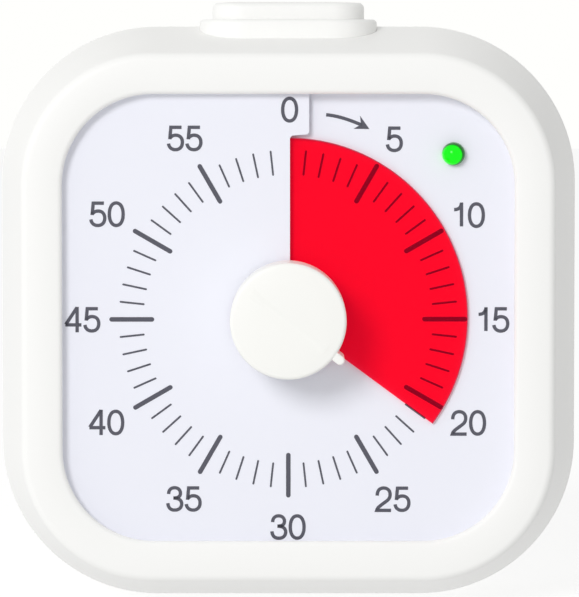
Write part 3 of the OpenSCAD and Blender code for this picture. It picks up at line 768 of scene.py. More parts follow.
@cache
def copies_tool() -> NodeTool:
    """Copies a piece onto the points of a mesh, each turned about the row frame's Y by chance."""
    tool = NodeTool("copies_on_points", {"Object": ["Piece"], "Float": ["Turn"], "Int": ["Seed"]})
    piece = tool.add("GeometryNodeObjectInfo", {"Object": "Piece"}, transform_space="ORIGINAL")
    chance = tool.add("FunctionNodeRandomValue", {"Seed": "Seed", RANDOM_MAX: "Turn"}, data_type="FLOAT")
    turn = tool.add("ShaderNodeCombineXYZ", {"Y": chance.outputs[RANDOM_OUT]})
    values = {"Points": "Geometry", "Instance": piece.outputs["Geometry"], "Rotation": turn}
    return tool.finish(tool.add("GeometryNodeInstanceOnPoints", values))


@cache
def spring_tool() -> NodeTool:
    """Winds a round wire about the row frame's Z and turns it into place."""
    sizes = ("Turns", "First Radius", "Last Radius", "Length", "Wire Radius")
    tool = NodeTool("wound_spring", {"Float": sizes, "Vector": ("Place", "Rotation")})
    size = {"Start Radius": "First Radius", "End Radius": "Last Radius", "Height": "Length"}
    spiral = tool.add("GeometryNodeCurveSpiral", {"Resolution": TURN_STEPS, "Rotations": "Turns", **size})
    wire = tool.add("GeometryNodeCurvePrimitiveCircle", {"Resolution": WIRE_SIDES, "Radius": "Wire Radius"})
    wound = tool.add("GeometryNodeCurveToMesh", {"Curve": spiral, "Profile Curve": wire, "Fill Caps": True})
    values = {"Geometry": wound, "Translation": "Place", "Rotation": "Rotation"}
    return tool.finish(tool.add("GeometryNodeTransform", values))


@cache
def ticks_tool() -> NodeTool:
    """Sets printed ticks round the dial, each vertex lifted onto the spiral card."""
    sizes = ("Step", "Middle Radius", "Length", "Width", "Axis Height", "Card Depth", "Rise")
    tool = NodeTool("dial_ticks", {"Int": ("Count", "Group"), "Float": sizes})
    bar = tool.add("GeometryNodeCurvePrimitiveQuadrilateral", {"Width": "Width", "Height": "Length"})
    half = tool.math("MULTIPLY", "Width", ALMOST_HALF)
    corner = {"Curve": bar, "Radius": half, "Count": TICK_STEPS}
    ends = tool.add("GeometryNodeFilletCurve", corner, mode="POLY")
    filled = tool.add("GeometryNodeFillCurve", {"Curve": ends}, mode="NGONS")
    stood = tool.add("GeometryNodeTransform", {"Geometry": filled, "Rotation": (math.pi / 2, 0, 0)})
    index = tool.add("GeometryNodeInputIndex")
    skipped = tool.math("FLOOR", tool.math("DIVIDE", index, "Group"))
    angle = tool.math("MULTIPLY", tool.math("ADD", tool.math("ADD", index, skipped), 1.0), "Step")
    across, up = (tool.math("MULTIPLY", tool.math(way, angle), "Middle Radius") for way in ("SINE", "COSINE"))
    place = tool.add("ShaderNodeCombineXYZ", {"X": across, "Z": up})
    points = tool.add("GeometryNodePoints", {"Count": "Count", "Position": place})
    turned = tool.add("ShaderNodeCombineXYZ", {"Y": angle})
    spread = {"Points": points, "Instance": stood, "Rotation": turned}
    ticks = tool.add("GeometryNodeInstanceOnPoints", spread)
    real = tool.add("GeometryNodeRealizeInstances", {"Geometry": ticks})
    spot = tool.add("ShaderNodeSeparateXYZ", {"Vector": tool.add("GeometryNodeInputPosition")}).outputs
    clock = tool.math("FLOORED_MODULO", tool.math("ARCTAN2", spot["X"], spot["Z"]), TURN)
    climb = tool.math("MULTIPLY", tool.math("DIVIDE", clock, TURN), "Rise")
    depth = tool.math("SUBTRACT", "Card Depth", climb)
    onto = tool.add("ShaderNodeCombineXYZ", {"Y": depth, "Z": "Axis Height"})
    return tool.finish(tool.add("GeometryNodeSetPosition", {"Geometry": real, "Offset": onto}))


def copies(name: str, piece: Object, places: Iterable[Vector], look: Look, turn: float, seed: int) -> Object:
    """Copies a piece that was made at the face frame's zero, and removes it.

    Args:
        name: Name of the object that holds the copies.
        piece: The piece.
        places: Where the copies go, in metres.
        look: What they are made of.
        turn: Each is turned by chance, by up to this angle in radians.
        seed: Seed of that chance.

    Returns:
        The copies as one object.
    """
    piece.data.transform(Matrix.Translation(-FACE.place(0, 0, 0)))
    host = plain(name, list(places))
    copies_tool().run(host, look, {"Piece": piece, "Turn": turn, "Seed": seed})
    bpy.data.objects.remove(piece)
    return host


# ---------------------------------------------------------------- the two shells and the door


@dataclass(frozen=True)
class CollarPlan:
    """Sizes of the button's collar that the shells share."""

    wide: float = 27.7
    deep: float = 14
    proud: float = 1.1
    flange_drop: float = 2.2
    gap: float = 0.05
    pocket_over: float = 5
    mid: float = middle("button_collar").y

    @property
    def flange_top(self) -> float:
        """Height of the collar's flange, on top, in the row frame."""
        return high("button_collar").z - self.proud - CASE.wall - self.flange_drop

    def pocket(self) -> Object:
        """A cutter for the collar's pocket in the top of the case."""
        wide, deep = self.wide + 2 * self.gap, self.deep + 2 * self.gap
        levels = (CASE.height / 2, CASE.height + self.pocket_over)
        return loft("pocket", [pill(wide, deep, z, self.mid) for z in levels])


COLLAR = CollarPlan()


@dataclass(frozen=True)
class CaseScrewPlan:
    """Places of the four case screws, seen from the dial axis, and their bosses."""

    from_side: float = 12.8
    from_top: float = 15.3
    boss_dia: float = 6
    screw_dia: float = 2.6
    boss_floor: float = 4
    head_dia: float = 4.8

    def places(self) -> list[Pair]:
        """The four places in the face frame."""
        x, y = CASE.width / 2 - self.from_side, CASE.height / 2 - self.from_top
        return [(sx * x, CASE.drop + sy * y) for sx in (-1, 1) for sy in (-1, 1)]

    def rods(self, name: str, dia: float, z0: float, z1: float) -> list[Object]:
        """A cylinder at each place, for bosses and bores."""
        return [rod(name, p, dia, z0, z1) for p in self.places()]


SCREWS = CaseScrewPlan()


@dataclass
class FrontBezel:
    """The front shell: a crowned ring, a round shoulder and a flank that slopes out to the seam."""

    opening_edge: float = 0.8
    land: float = 0.1
    lip_t: float = 1.5
    crown_steps: int = 16
    seam_part: float = 0.6
    bore_deep: float = 7.5
    boss_end: float = 0.3

    def section(self) -> list[Pair]:
        """The wall's section as (distance from the corner centres, depth), once round."""
        outer, wall, shoulder, seam = CASE.corner_r, CASE.wall, CASE.shoulder_r, CASE.seam
        inner, edge, crown = CASE.opening_u, self.opening_edge, CASE.ring_crown
        ring_u = outer - CASE.flank_in
        start, end = inner + edge, ring_u - shoulder
        n = self.crown_steps
        crowned = [(start + (end - start) * i / n, -crown * (2 * i / n - 1) ** 2) for i in range(1, n)]
        land = -crown - edge - self.land
        inside = inner + self.lip_t
        return [
            (inner + CASE.undercut, CASE.dial_back),
            (inner + CASE.undercut, land - CASE.undercut),
            (inner, land),
            *arc(start, -crown - edge, edge, 180, 90, steps=8),
            *crowned,
            *arc(end, -crown - shoulder, shoulder, 90, math.degrees(math.atan(CASE.slope)), steps=10),
            (outer - CASE.seam_edge * self.seam_part, seam + CASE.seam_edge),
            (outer - CASE.seam_edge, seam),
            (outer - wall, seam),
            (ring_u - wall + CASE.slope * wall, -wall - crown),
            (inside, -wall - crown),
            (inside, CASE.dial_back),
        ]

    def build(self) -> None:
        """The bezel with its bosses, bores and the pocket for the collar."""
        shell = loft("front_bezel_fine", [CASE.loop(u, z) for u, z in self.section()], ring=True)
        boss_end = FACE.depth(high("dial_tray").y) - self.boss_end
        combine(shell, SCREWS.rods("boss", SCREWS.boss_dia, CASE.seam, boss_end), Join.ON)
        bores = SCREWS.rods("bore", SCREWS.screw_dia, CASE.seam - PAST, CASE.seam + self.bore_deep)
        combine(shell, [*bores, COLLAR.pocket()], Join.AWAY)
        dress(smooth(shell), "case", SHELL_ABS, "shell", "front_bezel")


@dataclass(frozen=True)
class BatteryBay:
    """Sizes that the rear shell, the battery door and the cell share."""

    cell: Vector = field(default_factory=lambda: middle("battery_cell"))
    cell_dia: float = 14.5
    cell_gap: float = 0.5
    contact_deep: float = 2.4
    wall: float = 1.2
    lap: float = 1
    gap: float = 0.2
    door_r: float = 3
    door_t: float = 1.6
    tongue_w: float = 6
    tongue_t: float = 1
    tongue_out: float = 1.2

    @property
    def half(self) -> float:
        """Half the inner width of the bay."""
        return (high("battery_cell").x - low("battery_cell").x) / 2 + self.contact_deep

    @property
    def tall(self) -> float:
        """Inner height of the bay."""
        return self.cell_dia + 2 * self.cell_gap

    @property
    def front(self) -> float:
        """Depth of the bay's front wall in the row frame, on its inner side."""
        return self.cell.y - self.tall / 2

    @property
    def door_w(self) -> float:
        """Width of the door."""
        return 2 * (self.half + self.lap)

    @property
    def door_h(self) -> float:
        """Height of the door."""
        return self.tall + 2 * self.lap

    def outline(self, grow: float) -> list[Pair]:
        """The door's outline in the face frame, grown by a gap."""
        w, h = self.door_w + 2 * grow, self.door_h + 2 * grow
        return round_plate(w, h, self.door_r + grow, self.cell.z - FACE.axis)

    def tongues(self, name: str, grow: float, y: float, size: Point) -> list[Object]:
        """A box for each of the door's two tongues.

        Args:
            name: Name of the boxes.
            grow: How much wider than the tongue each is on every side.
            y: Its front, in the row frame.
            size: Its width, depth and height.

        Returns:
            The boxes.
        """
        z = self.cell.z - self.door_h / 2 - self.tongue_out - grow
        starts = (sx * self.door_w / 4 - self.tongue_w / 2 - grow for sx in (-1, 1))
        return [block(name, (x, y, z), size) for x in starts]


BAY = BatteryBay()


@dataclass
class RearCase:
    """The rear shell: a straight cup with the battery bay, vents, slot and counterbores."""

    back_r: float = 4
    tongue_t: float = 1.2
    tongue_h: float = 1.5
    tongue_root: float = 2
    tongue_fade: float = 4
    seat: float = 0.05
    bore_gap: float = 0.4
    post_dia: float = 5
    vent_dia: float = 1.1
    vent_step: float = 2
    vent_rings: int = 3
    first_ring: int = 6
    slot_gap: float = 0.3
    travel: float = 2
    slot_height: float = 5

    def shell(self) -> Object:
        """The cup with the tongue that locates it in the front shell."""
        r, back, seam, wall = CASE.corner_r, CASE.back, CASE.seam, CASE.wall
        tongue, top = r - wall - self.seat, seam + self.tongue_h
        inner_r = self.back_r - wall
        section = [
            *arc(r - self.back_r, back + self.back_r, self.back_r, -90, 0, steps=12),
            (r, seam - CASE.seam_edge),
            (r - CASE.seam_edge, seam),
            (tongue, seam),
            (tongue - CASE.slope * self.tongue_h, top),
            (tongue - self.tongue_t, top),
            (tongue - self.tongue_t, seam - self.tongue_root),
            (r - wall, seam - self.tongue_fade),
            *arc(r - wall - inner_r, back + wall + inner_r, inner_r, 0, -90, steps=5),
        ]
        return loft("rear_case_fine", [CASE.loop(u, z) for u, z in section])

    def vents(self) -> Object:
        """Cutters for the sounder's vents: one hole in the middle and rings round it."""
        spot, back = middle("sounder"), high("rear_case").y
        at = [(0.0, 0.0)]
        for ring in range(1, self.vent_rings):
            at += ring_of(ring * self.vent_step, self.first_ring * ring)
        pin = rod("vent_pin", (0, 0), self.vent_dia, -PAST, CASE.wall + PAST, count=20)
        places = [row(spot.x + x, back, spot.z + z) for x, z in at]
        return copies("vent_cutters", pin, places, SHELL_ABS, turn=0.0, seed=1)

    def additions(self) -> list[Object]:
        """The bosses, the bay's walls and the posts of the circuit board."""
        inner = high("rear_case").y - CASE.wall
        w, h, y = 2 * (BAY.half + BAY.wall), BAY.tall + 2 * BAY.wall, BAY.front - BAY.wall
        bay = block("bay_walls", (-w / 2, y, BAY.cell.z - h / 2), (w, inner + BITE - y, h))
        up = FACE.spot("circuit_board")[1]
        out = high("circuit_board").x - self.post_dia / 2 - BITE
        z0, z1 = FACE.depth(inner + BITE), FACE.depth(high("circuit_board").y)
        posts = [rod("post", (x, up), self.post_dia, z0, z1) for x in (-out, out)]
        return [*SCREWS.rods("boss", SCREWS.boss_dia, CASE.back + CASE.wall / 2, CASE.seam), bay, *posts]

    def cuts(self) -> list[Object]:
        """Everything that is cut out of the rear shell."""
        back = high("rear_case").y
        outside = CASE.back - PAST
        bores = SCREWS.rods("bore", SCREWS.screw_dia + self.bore_gap, outside, CASE.seam + PAST)
        heads = SCREWS.rods("counterbore", SCREWS.head_dia, outside, CASE.seam - SCREWS.boss_floor)
        corner = (-BAY.half, BAY.front, BAY.cell.z - BAY.tall / 2)
        room = block("bay_room", corner, (2 * BAY.half, back + PAST - BAY.front, BAY.tall))
        recess = prism("door_recess", BAY.outline(BAY.gap), outside, CASE.back + BAY.door_t)
        gap = BAY.gap
        size = (BAY.tongue_w + 2 * gap, BAY.tongue_t + 3 * gap, BAY.tongue_out + self.slot_height)
        slots = BAY.tongues("tongue_slot", gap, back - BAY.door_t - BAY.tongue_t - 3 * gap, size)
        near, far = low("volume_slider"), high("volume_slider")
        grow = self.travel + self.slot_gap
        corner = (near.x - grow, back - CASE.wall - PAST, near.z - self.slot_gap)
        size = (far.x - near.x + 2 * grow, CASE.wall + 2 * PAST, far.z - near.z + 2 * self.slot_gap)
        slot = block("volume_slot", corner, size)
        holes = [tool for pair in zip(bores, heads) for tool in pair]
        return [*holes, room, recess, *slots, slot, COLLAR.pocket(), self.vents()]

    def build(self) -> None:
        """The rear shell."""
        shell = combine(self.shell(), self.additions(), Join.ON)
        combine(shell, self.cuts(), Join.AWAY)
        dress(smooth(shell), "case", SHELL_ABS, "shell", "rear_case")


@dataclass
class BatteryDoor:
    """The door over the cell, with grip grooves and two tongues."""

    edge: float = 0.35
    tongue_bite: float = 0.1
    tongue_tall: float = 2.4
    grooves: int = 5
    groove_step: float = 1.2
    groove_w: float = 0.6
    groove_len: float = 12
    groove_deep: float = 0.4
    groove_top: float = 2.2
    groove_foot: Pair = (0.7, 0.3)

    def groove(self, number: int) -> Object:
        """The cutter of one groove: a bar with a tapered foot."""
        y, w = high("battery_door").y, self.groove_w
        top = BAY.cell.z + BAY.door_h / 2 - self.groove_top - number * self.groove_step
        outline = [(y + BITE, top), (y + BITE, top - w)]
        outline += [(y - self.groove_deep, top - w * part) for part in self.groove_foot]
        ends = (-self.groove_len / 2, self.groove_len / 2)
        return loft("groove", [[row(x, *p) for p in outline] for x in ends])

    def build(self) -> None:
        """The door."""
        levels = [(out - self.edge, self.edge + up) for out, up in arc(0, 0, self.edge, -90, 0, steps=4)]
        levels.append((0, BAY.door_t))
        loops = [[FACE.place(x, y, CASE.back + up) for x, y in BAY.outline(grow)] for grow, up in levels]
        size = (BAY.tongue_w, BAY.tongue_t + self.tongue_bite, BAY.tongue_out + self.tongue_tall)
        tongues = BAY.tongues("tongue", 0, low("battery_door").y, size)
        door = combine(loft("battery_door_fine", loops), tongues, Join.ON)
        combine(door, [self.groove(i) for i in range(self.grooves)], Join.AWAY)
        dress(smooth(door), "battery_door", SHELL_ABS, "door", "battery_door")


# ---------------------------------------------------------------- dial, film and print


@dataclass(frozen=True)
class SpiralCard:
    """The dial card: one turn of a spiral sheet whose end laps over the slit as the zero tab."""

    thick: float = 0.3
    gap: float = 0.02
    rise: float = 1.2
    dial_recess: float = 2.8
    hole_r: float = 5.4
    slit_x: float = 0.25
    tab_right: float = 3.2
    tab_low_left: float = 27.95
    tab_low_right: float = 28.1
    tab_corner: float = 0.5
    tab_fillet: float = 0.6
    tab_spare: float = 0.6
    cutter_ends: Pair = (-2.0, 60.0)
    cutter_wide: float = 4
    cutter_under: float = 0.45
    cutter_over: float = 0.6
    lamp_dia: float = 3.5
    lamp_gap: float = 0.03
    step: float = 1.5
    rows: int = 12

    @property
    def level(self) -> float:
        """Depth of the card's front at the slit, where the spiral starts."""
        return -self.dial_recess - self.rise / 2

    def height(self, x: float, y: float, laps: bool) -> float:
        """Depth of the card's front at a place, on the first turn or where it laps over."""
        part = 1 + math.atan2(x, y) / TURN if laps else math.atan2(x, y) % TURN / TURN
        return self.level + self.rise * part

    def reach(self, a: float) -> float:
        """Distance from the axis to the card's edge, at a clockwise angle from the slit."""
        r = CASE.opening_u + CASE.undercut - self.gap
        side = CASE.half_x + r
        x, y = abs(math.sin(a)), abs(math.cos(a))
        tall = CASE.half_y + r + math.copysign(CASE.drop, math.cos(a))
        flat = min(side / max(x, TINY), tall / max(y, TINY))
        cx, cy = side - r, tall - r
        if x * flat <= cx or y * flat <= cy:
            return flat
        along, across = cx * x + cy * y, cx * y - cy * x
        return along + math.sqrt(max(r * r - across * across, 0))

    def spaced(self, first: float, last: float) -> list[float]:
        """Even distances along one of the card's columns."""
        return [first + (last - first) * j / self.rows for j in range(self.rows + 1)]

    def tab_cutter(self) -> Object:
        """What is cut away to the right of the slit and the tab, with both corners rounded."""
        r, c = self.tab_fillet, self.tab_corner
        bottom, top = self.cutter_ends
        far = self.tab_right + self.cutter_wide
        outline = [
            (self.slit_x, bottom),
            *arc(self.slit_x + r, self.tab_low_left - r, r, 180, 90, steps=6),
            *arc(self.tab_right - c, self.tab_low_right + c, c, -90, 0, steps=6),
            (self.tab_right, top),
            (far, top),
            (far, bottom),
        ]
        z0, z1 = self.level + self.cutter_under, self.level + self.rise + self.cutter_over
        return prism("tab_cutter", outline, z0, z1)

    def build(self) -> None:
        """The card."""
        columns = []
        count = round(360 / self.step)
        for i in range(count + 1):
            a = TURN * i / count
            z = self.level + self.rise * i / count
            radii = self.spaced(self.hole_r, self.reach(a))
            columns.append([(r * math.sin(a), r * math.cos(a), z) for r in radii])
        for x in (self.slit_x, self.tab_right / 2, self.tab_right + self.tab_spare):
            ys = self.spaced(math.sqrt(self.hole_r**2 - x * x), self.reach(0))
            columns.append([(x, y, self.height(x, y, True)) for y in ys])
        card = sheet("dial_card_fine", columns, self.thick)
        hole = rod("lamp_hole", FACE.spot("led"), self.lamp_dia + 2 * self.lamp_gap, self.level - 2 * PAST, 0)
        combine(card, [self.tab_cutter(), hole], Join.AWAY)
        dress(smooth(card, angle=25), "case", CARD_PS, "card", "dial_card")


CARD = SpiralCard()

# Centre lines of the digits, drawn in a box one wide and one high.
DIGITS: dict[str, list[list[Pair]]] = {
    "0": [
        bezier(
            (0.5, 1),
            ((0.83, 1), (1, 0.78), (1, 0.5)),
            ((1, 0.22), (0.83, 0), (0.5, 0)),
            ((0.17, 0), (0, 0.22), (0, 0.5)),
            ((0, 0.78), (0.17, 1), (0.5, 1)),
        )
    ],
    "1": [[(0.755, 0), (0.755, 1.06)], bezier((0.22, 0.745), ((0.5, 0.745), (0.7, 0.8), (0.755, 1.03)))],
    "2": [
        bezier(
            (0.03, 0.66),
            ((0.03, 0.88), (0.2, 1), (0.5, 1)),
            ((0.8, 1), (0.97, 0.88), (0.97, 0.71)),
            ((0.97, 0.5), (0.74, 0.43), (0.48, 0.31)),
            ((0.2, 0.18), (0.04, 0.12), (0.0, 0.0)),
            ((1.04, 0),),
        )
    ],
    "3": [
        bezier(
            (0.05, 0.72),
            ((0.06, 0.9), (0.22, 1), (0.49, 1)),
            ((0.76, 1), (0.91, 0.89), (0.91, 0.76)),
            ((0.91, 0.61), (0.76, 0.54), (0.4, 0.54)),
        ),
        bezier(
            (0.4, 0.54),
            ((0.8, 0.54), (1, 0.44), (1, 0.28)),
            ((1, 0.11), (0.8, 0), (0.5, 0)),
            ((0.2, 0), (0.02, 0.1), (0.0, 0.31)),
        ),
    ],
    "4": [[(0.77, -0.06), (0.77, 1.07)], [(0.77, 1.05), (-0.05, 0.29)], [(-0.08, 0.27), (1.08, 0.27)]],
    "5": [
        [(0.94, 0.99), (0.17, 0.99), (0.09, 0.46)],
        bezier(
            (0.12, 0.52),
            ((0.22, 0.6), (0.35, 0.64), (0.52, 0.64)),
            ((0.82, 0.64), (1, 0.52), (1, 0.33)),
            ((1, 0.12), (0.8, 0), (0.5, 0)),
            ((0.22, 0), (0.03, 0.1), (0.0, 0.27)),
        ),
    ],
}

# The centre of each number in the face frame.
NUMBERS: dict[str, Pair] = {
    "0": (0.2, 32.2),
    "5": (16.27, 27.65),
    "10": (27.47, 16.0),
    "15": (31.26, -0.1),
    "20": (27.72, -15.99),
    "25": (16.1, -27.77),
    "30": (-0.05, -32.07),
    "35": (-16.07, -27.71),
    "40": (-27.96, -15.9),
    "45": (-31.6, -0.05),
    "50": (-27.81, 16.17),
    "55": (-15.88, 27.8),
}

# The arrow's bent shaft, and its swept-back head as tip, barb, notch and barb.
ARROW_SHAFT = bezier((5.8, 31.4), ((7.6, 31.25), (9.5, 30.6), (11.3, 29.8)))
ARROW_HEAD = [(12.45, 29.2), (11.0, 31.25), (11.15, 29.9), (10.0, 29.25)]


@dataclass(frozen=True)
class TickRing:
    """One ring of ticks, some left out where the other ring has its own."""

    name: str
    count: int
    group: int
    step: float
    inner: float
    outer: float
    width: float


@dataclass
class DialPrint:
    """Ticks, numerals and the arrow, printed on the card."""

    lift: float = 0.03
    digit_w: float = 2.12
    digit_h: float = 3.46
    stroke: float = 0.52
    mitre: float = 0.45
    pitch: float = 2.83
    drop: float = 0.3
    rings: tuple[TickRing, ...] = (
        TickRing("major_ticks", 11, 60, 30, 20.6, 27.5, 0.7),
        TickRing("minor_ticks", 48, 4, 6, 22.2, 26.05, 0.29),
    )

    def ribbon(self, path: Sequence[Pair]) -> tuple[list[Pair], list[tuple[int, ...]]]:
        """A flat band as wide as a stroke along a path, with mitred bends.

        Args:
            path: Points in the face frame; a path that ends where it starts is closed.

        Returns:
            Its points and its faces.
        """
        closed = math.dist(path[0], path[-1]) < TINY
        dots = [Vector(p) for p in (path[:-1] if closed else path)]
        n = len(dots)
        points = []
        for i, p in enumerate(dots):
            ahead = dots[(i + 1) % n] - p if closed or i < n - 1 else p - dots[i - 1]
            behind = p - dots[i - 1] if closed or i > 0 else ahead
            one, two = ahead.normalized(), behind.normalized()
            bend = (one + two).normalized()
            side = Vector((-bend.y, bend.x)) * (self.stroke / 2 / max(bend.dot(one), self.mitre))
            points += [tuple(p + side), tuple(p - side)]
        spans = n if closed else n - 1
        faces = [(2 * i, 2 * i + 1, (2 * i + 3) % (2 * n), (2 * i + 2) % (2 * n)) for i in range(spans)]
        return points, faces

    def label(self, text: str, centre: Pair) -> list[list[Pair]]:
        """Centre lines of a number, about its centre in the face frame."""
        lines, w, h = [], self.digit_w, self.digit_h
        for k, digit in enumerate(text):
            x0, y0 = centre[0] + (k - (len(text) - 1) / 2) * self.pitch, centre[1]
            for stroke in DIGITS[digit]:
                lines.append([(x0 + (x - 0.5) * w, y0 + (y - 0.5) * h) for x, y in stroke])
        return lines

    def on_card(self, x: float, y: float) -> Vector:
        """A point just in front of the card; the zero and its surroundings lie on the tab."""
        y -= self.drop
        laps = x >= 0 and y > CARD.tab_low_left and x <= CARD.tab_right
        return FACE.place(x, y, CARD.height(x, y, laps) + self.lift)

    def marks(self) -> None:
        """Numerals and arrow as one mesh."""
        points, faces = [], []
        lines = [line for text, centre in NUMBERS.items() for line in self.label(text, centre)]
        shapes = [self.ribbon(line) for line in [*lines, ARROW_SHAFT]]
        for flat, parts in [*shapes, (ARROW_HEAD, [(0, 1, 2), (0, 2, 3)])]:
            faces += [tuple(len(points) + i for i in part) for part in parts]
            points += [self.on_card(x, y) for x, y in flat]
        dress(plain("dial_numbers", points, faces), "case", DIAL_INK)

    def ticks(self, ring: TickRing) -> None:
        """One ring of ticks."""
        values = {
            "Count": ring.count,
            "Group": ring.group,
            "Step": math.radians(ring.step),
            "Middle Radius": (ring.inner + ring.outer) / 2 * MM,
            "Length": (ring.outer - ring.inner) * MM,
            "Width": ring.width * MM,
            "Axis Height": (FACE.axis - self.drop) * MM,
            "Card Depth": (FACE.front - CARD.level - self.lift) * MM,
            "Rise": CARD.rise * MM,
        }
        dress(ticks_tool().run(new_object(ring.name), DIAL_INK, values), "case", DIAL_INK)

    def build(self) -> None:
        """All the print."""
        self.marks()
        for ring in self.rings:
            self.ticks(ring)


@dataclass
class RedFilm:
    """The film: a turn of the same spiral, half a gap in front of the card at rest."""

    inner_r: float = 4.85
    outer_r: float = 27.6
    thick: float = 0.25
    gap: float = 0.325
    shown: float = 126.4
    step: float = 2
    columns: int = 10
    # Width and lift of the band of painted shade along the film's outer edge.
    rim_w: float = 0.11
    rim_lift: float = 0.01

    def rim(self, rows: Sequence[Sequence[Point]]) -> Object:
        """A dark band of painted shade round the film's outer edge.

        Args:
            rows: The film's rows of points, each from the hub out.

        Returns:
            The band.
        """
        inside, lift = 1 - self.rim_w / self.outer_r, self.rim_lift
        edge = []
        for x, y, z in (line[-1] for line in rows):
            edge.append([(x * inside, y * inside, z + lift), (x, y, z + lift)])
        return dress(sheet("film_rim", edge, self.thick + 2 * lift), "film", FILM_EDGE_SHADE)

    def build(self) -> None:
        """The film."""
        rows = []
        across = self.outer_r - self.inner_r
        radii = [self.inner_r + across * j / self.columns for j in range(self.columns + 1)]
        for i in range(round(360 / self.step) + 1):
            a = self.shown - 360 + i * self.step
            z = CARD.level + self.gap + self.thick + CARD.rise * a / 360
            x, y = math.sin(math.radians(a)), math.cos(math.radians(a))
            rows.append([(r * x, r * y, z) for r in radii])
        film = sheet("red_film_fine", rows, self.thick)
        self.rim(rows)
        dress(smooth(film, angle=25), "film", RED_PET, "film", "red_film")


# ---------------------------------------------------------------- knob, lamp and button


@dataclass
class Knob:
    """The setting knob: a plain disc with a pointer nub and a low ridge across its face."""

    dia: float = 17.7
    edge: float = 0.6
    edge_end: float = 84
    dish: float = 0.2
    foot_edge: float = 0.25
    face_drop: float = 0.06
    nub_w: float = 1.4
    nub_out: float = 1.7
    nub_low: float = 0.5
    nub_edge: float = 0.35
    nub_root: float = 1.4
    bar_w: float = 1.5
    bar_h: float = 0.09
    bar_sink: float = 0.05
    bar_reach: float = 7.2
    bar_steps: int = 6
    bar_stations: tuple[float, ...] = (-1, -0.9, -0.7, 0.7, 0.9, 1)
    crown_part: float = 0.55
    crown_drop: float = 0.03
    wall: float = 1.8
    cap_t: float = 2.2
    socket_dia: float = 8.4
    socket_foot: float = 1.2
    socket_bite: float = 0.4
    bore_dia: float = 5.1
    bore_spare: float = 0.1
    pointer: float = 127

    def turned(self, x: float, y: float, z: float) -> Vector:
        """A point of the knob with its pointer up, turned to where the pointer is at rest."""
        return FACE.place(*(Matrix.Rotation(-math.radians(self.pointer), 2) @ Vector((x, y))), z)

    def nub(self, under: float, top: float) -> Object:
        """The pointer nub with a rounded front edge, between two depths."""
        r, reach = self.dia / 2, self.nub_out - self.nub_w / 2
        loops = []
        edge = arc(-self.nub_edge, top - self.nub_edge, self.nub_edge, 0, 90, steps=6)
        for inset, z in [(0.0, under), *edge]:
            half, root = self.nub_w / 2 + inset, r - self.nub_root
            outline = [(half, root), *arc(0, r + reach, half, 0, 180, steps=12), (-half, root)]
            loops.append([self.turned(x, y, z) for x, y in outline])
        return loft("nub", loops)

    def bar(self, top: float) -> Object:
        """The low ridge across the face in the pointer's direction, which fades out at both ends."""
        loops, half = [], self.bar_w / 2
        across = [i / self.bar_steps - 1 for i in range(2 * self.bar_steps + 1)]
        for part in self.bar_stations:
            rise = self.bar_h * math.cos(math.pi / 2 * part**4)
            arch = [(half * t, rise * (1 + math.cos(math.pi * t)) / 2 - self.bar_sink) for t in across]
            section = [(-half, -BITE), *arch, (half, -BITE)]
            loops.append([self.turned(x, self.bar_reach * part, top + z) for x, z in section])
        return loft("bar", loops)

    def build(self) -> None:
        """The knob."""
        r, edge = self.dia / 2, self.edge
        top, under = FACE.depth(low("knob").y), FACE.depth(high("knob").y)
        flat, inner_top = top - self.face_drop, top - self.cap_t
        hollow_r, socket = r - self.wall, self.socket_dia / 2
        profile = [
            (hollow_r, under),
            (r - self.foot_edge, under),
            (r, under + self.foot_edge),
            *arc(r - edge, flat - self.dish - edge, edge, 0, self.edge_end, steps=12),
            (r * self.crown_part, flat - self.crown_drop),
            (0, flat),
        ]
        body = lathe("knob_fine", profile, count=128)
        combine(body, [lathe("hollow", [(hollow_r, under - PAST), (hollow_r, inner_top)])], Join.AWAY)
        stem = lathe("stem", [(socket, self.socket_foot), (socket, inner_top + self.socket_bite)], count=64)
        combine(body, [stem, self.nub(under, top - self.nub_low), self.bar(flat)], Join.ON)
        bore_end = FACE.depth(low("knob_shaft").y) + self.bore_spare
        bore = rod("bore", (0, 0), self.bore_dia, 0, bore_end, count=48)
        combine(body, [bore], Join.AWAY)
        dress(smooth(body, angle=30), "dial_drive", KNOB_ABS, "knob", "knob")


@dataclass
class Lamp:
    """The lit lamp at the upper right of the dial: a domed lens on a short barrel."""

    dia: float = 3.5
    flange: float = 4.4
    flange_t: float = 0.8
    lead: float = 0.5
    lead_half: float = 0.7
    lead_bite: float = 0.1
    power: float = 0.95
    # The glow's centre is moved down and left, so that the painted shade of the rim is thickest at the upper
    # right.
    glow_at: Pair = (-0.25, -0.12)
    rim: Pair = (1.42, 1.62)

    def build(self) -> None:
        """The lamp."""
        x, y = FACE.spot("led")
        back, top, r = CASE.dial_back, FACE.depth(low("led").y), self.dia / 2
        foot = back + self.flange_t
        profile = [(0, back), (self.flange / 2, back), (self.flange / 2, foot), (r, foot)]
        profile += [*arc(0, top - r, r, 0, 90, steps=16)[:-1], (0, top)]
        ends = FACE.depth(high("led").y), back + self.lead_bite
        places = [(x + side * self.lead_half, y) for side in (-1, 1)]
        leads = [rod("lead", place, self.lead, *ends, count=16) for place in places]
        lens = combine(lathe("led_fine", profile, (x, y), count=64), leads, Join.ON)
        centre = FACE.place(x + self.glow_at[0], y + self.glow_at[1], top)
        # Clear green epoxy, lit from inside; its dark rim is painted shade where the edge turns away from the
        # light.
        colours = ("#063a08", "#00fa0a", "#005c08")
        epoxy = LitLens("lit_green_epoxy", *colours, self.power, tuple(centre), self.rim)
        dress(smooth(lens), "case", epoxy, "lamp", "led")


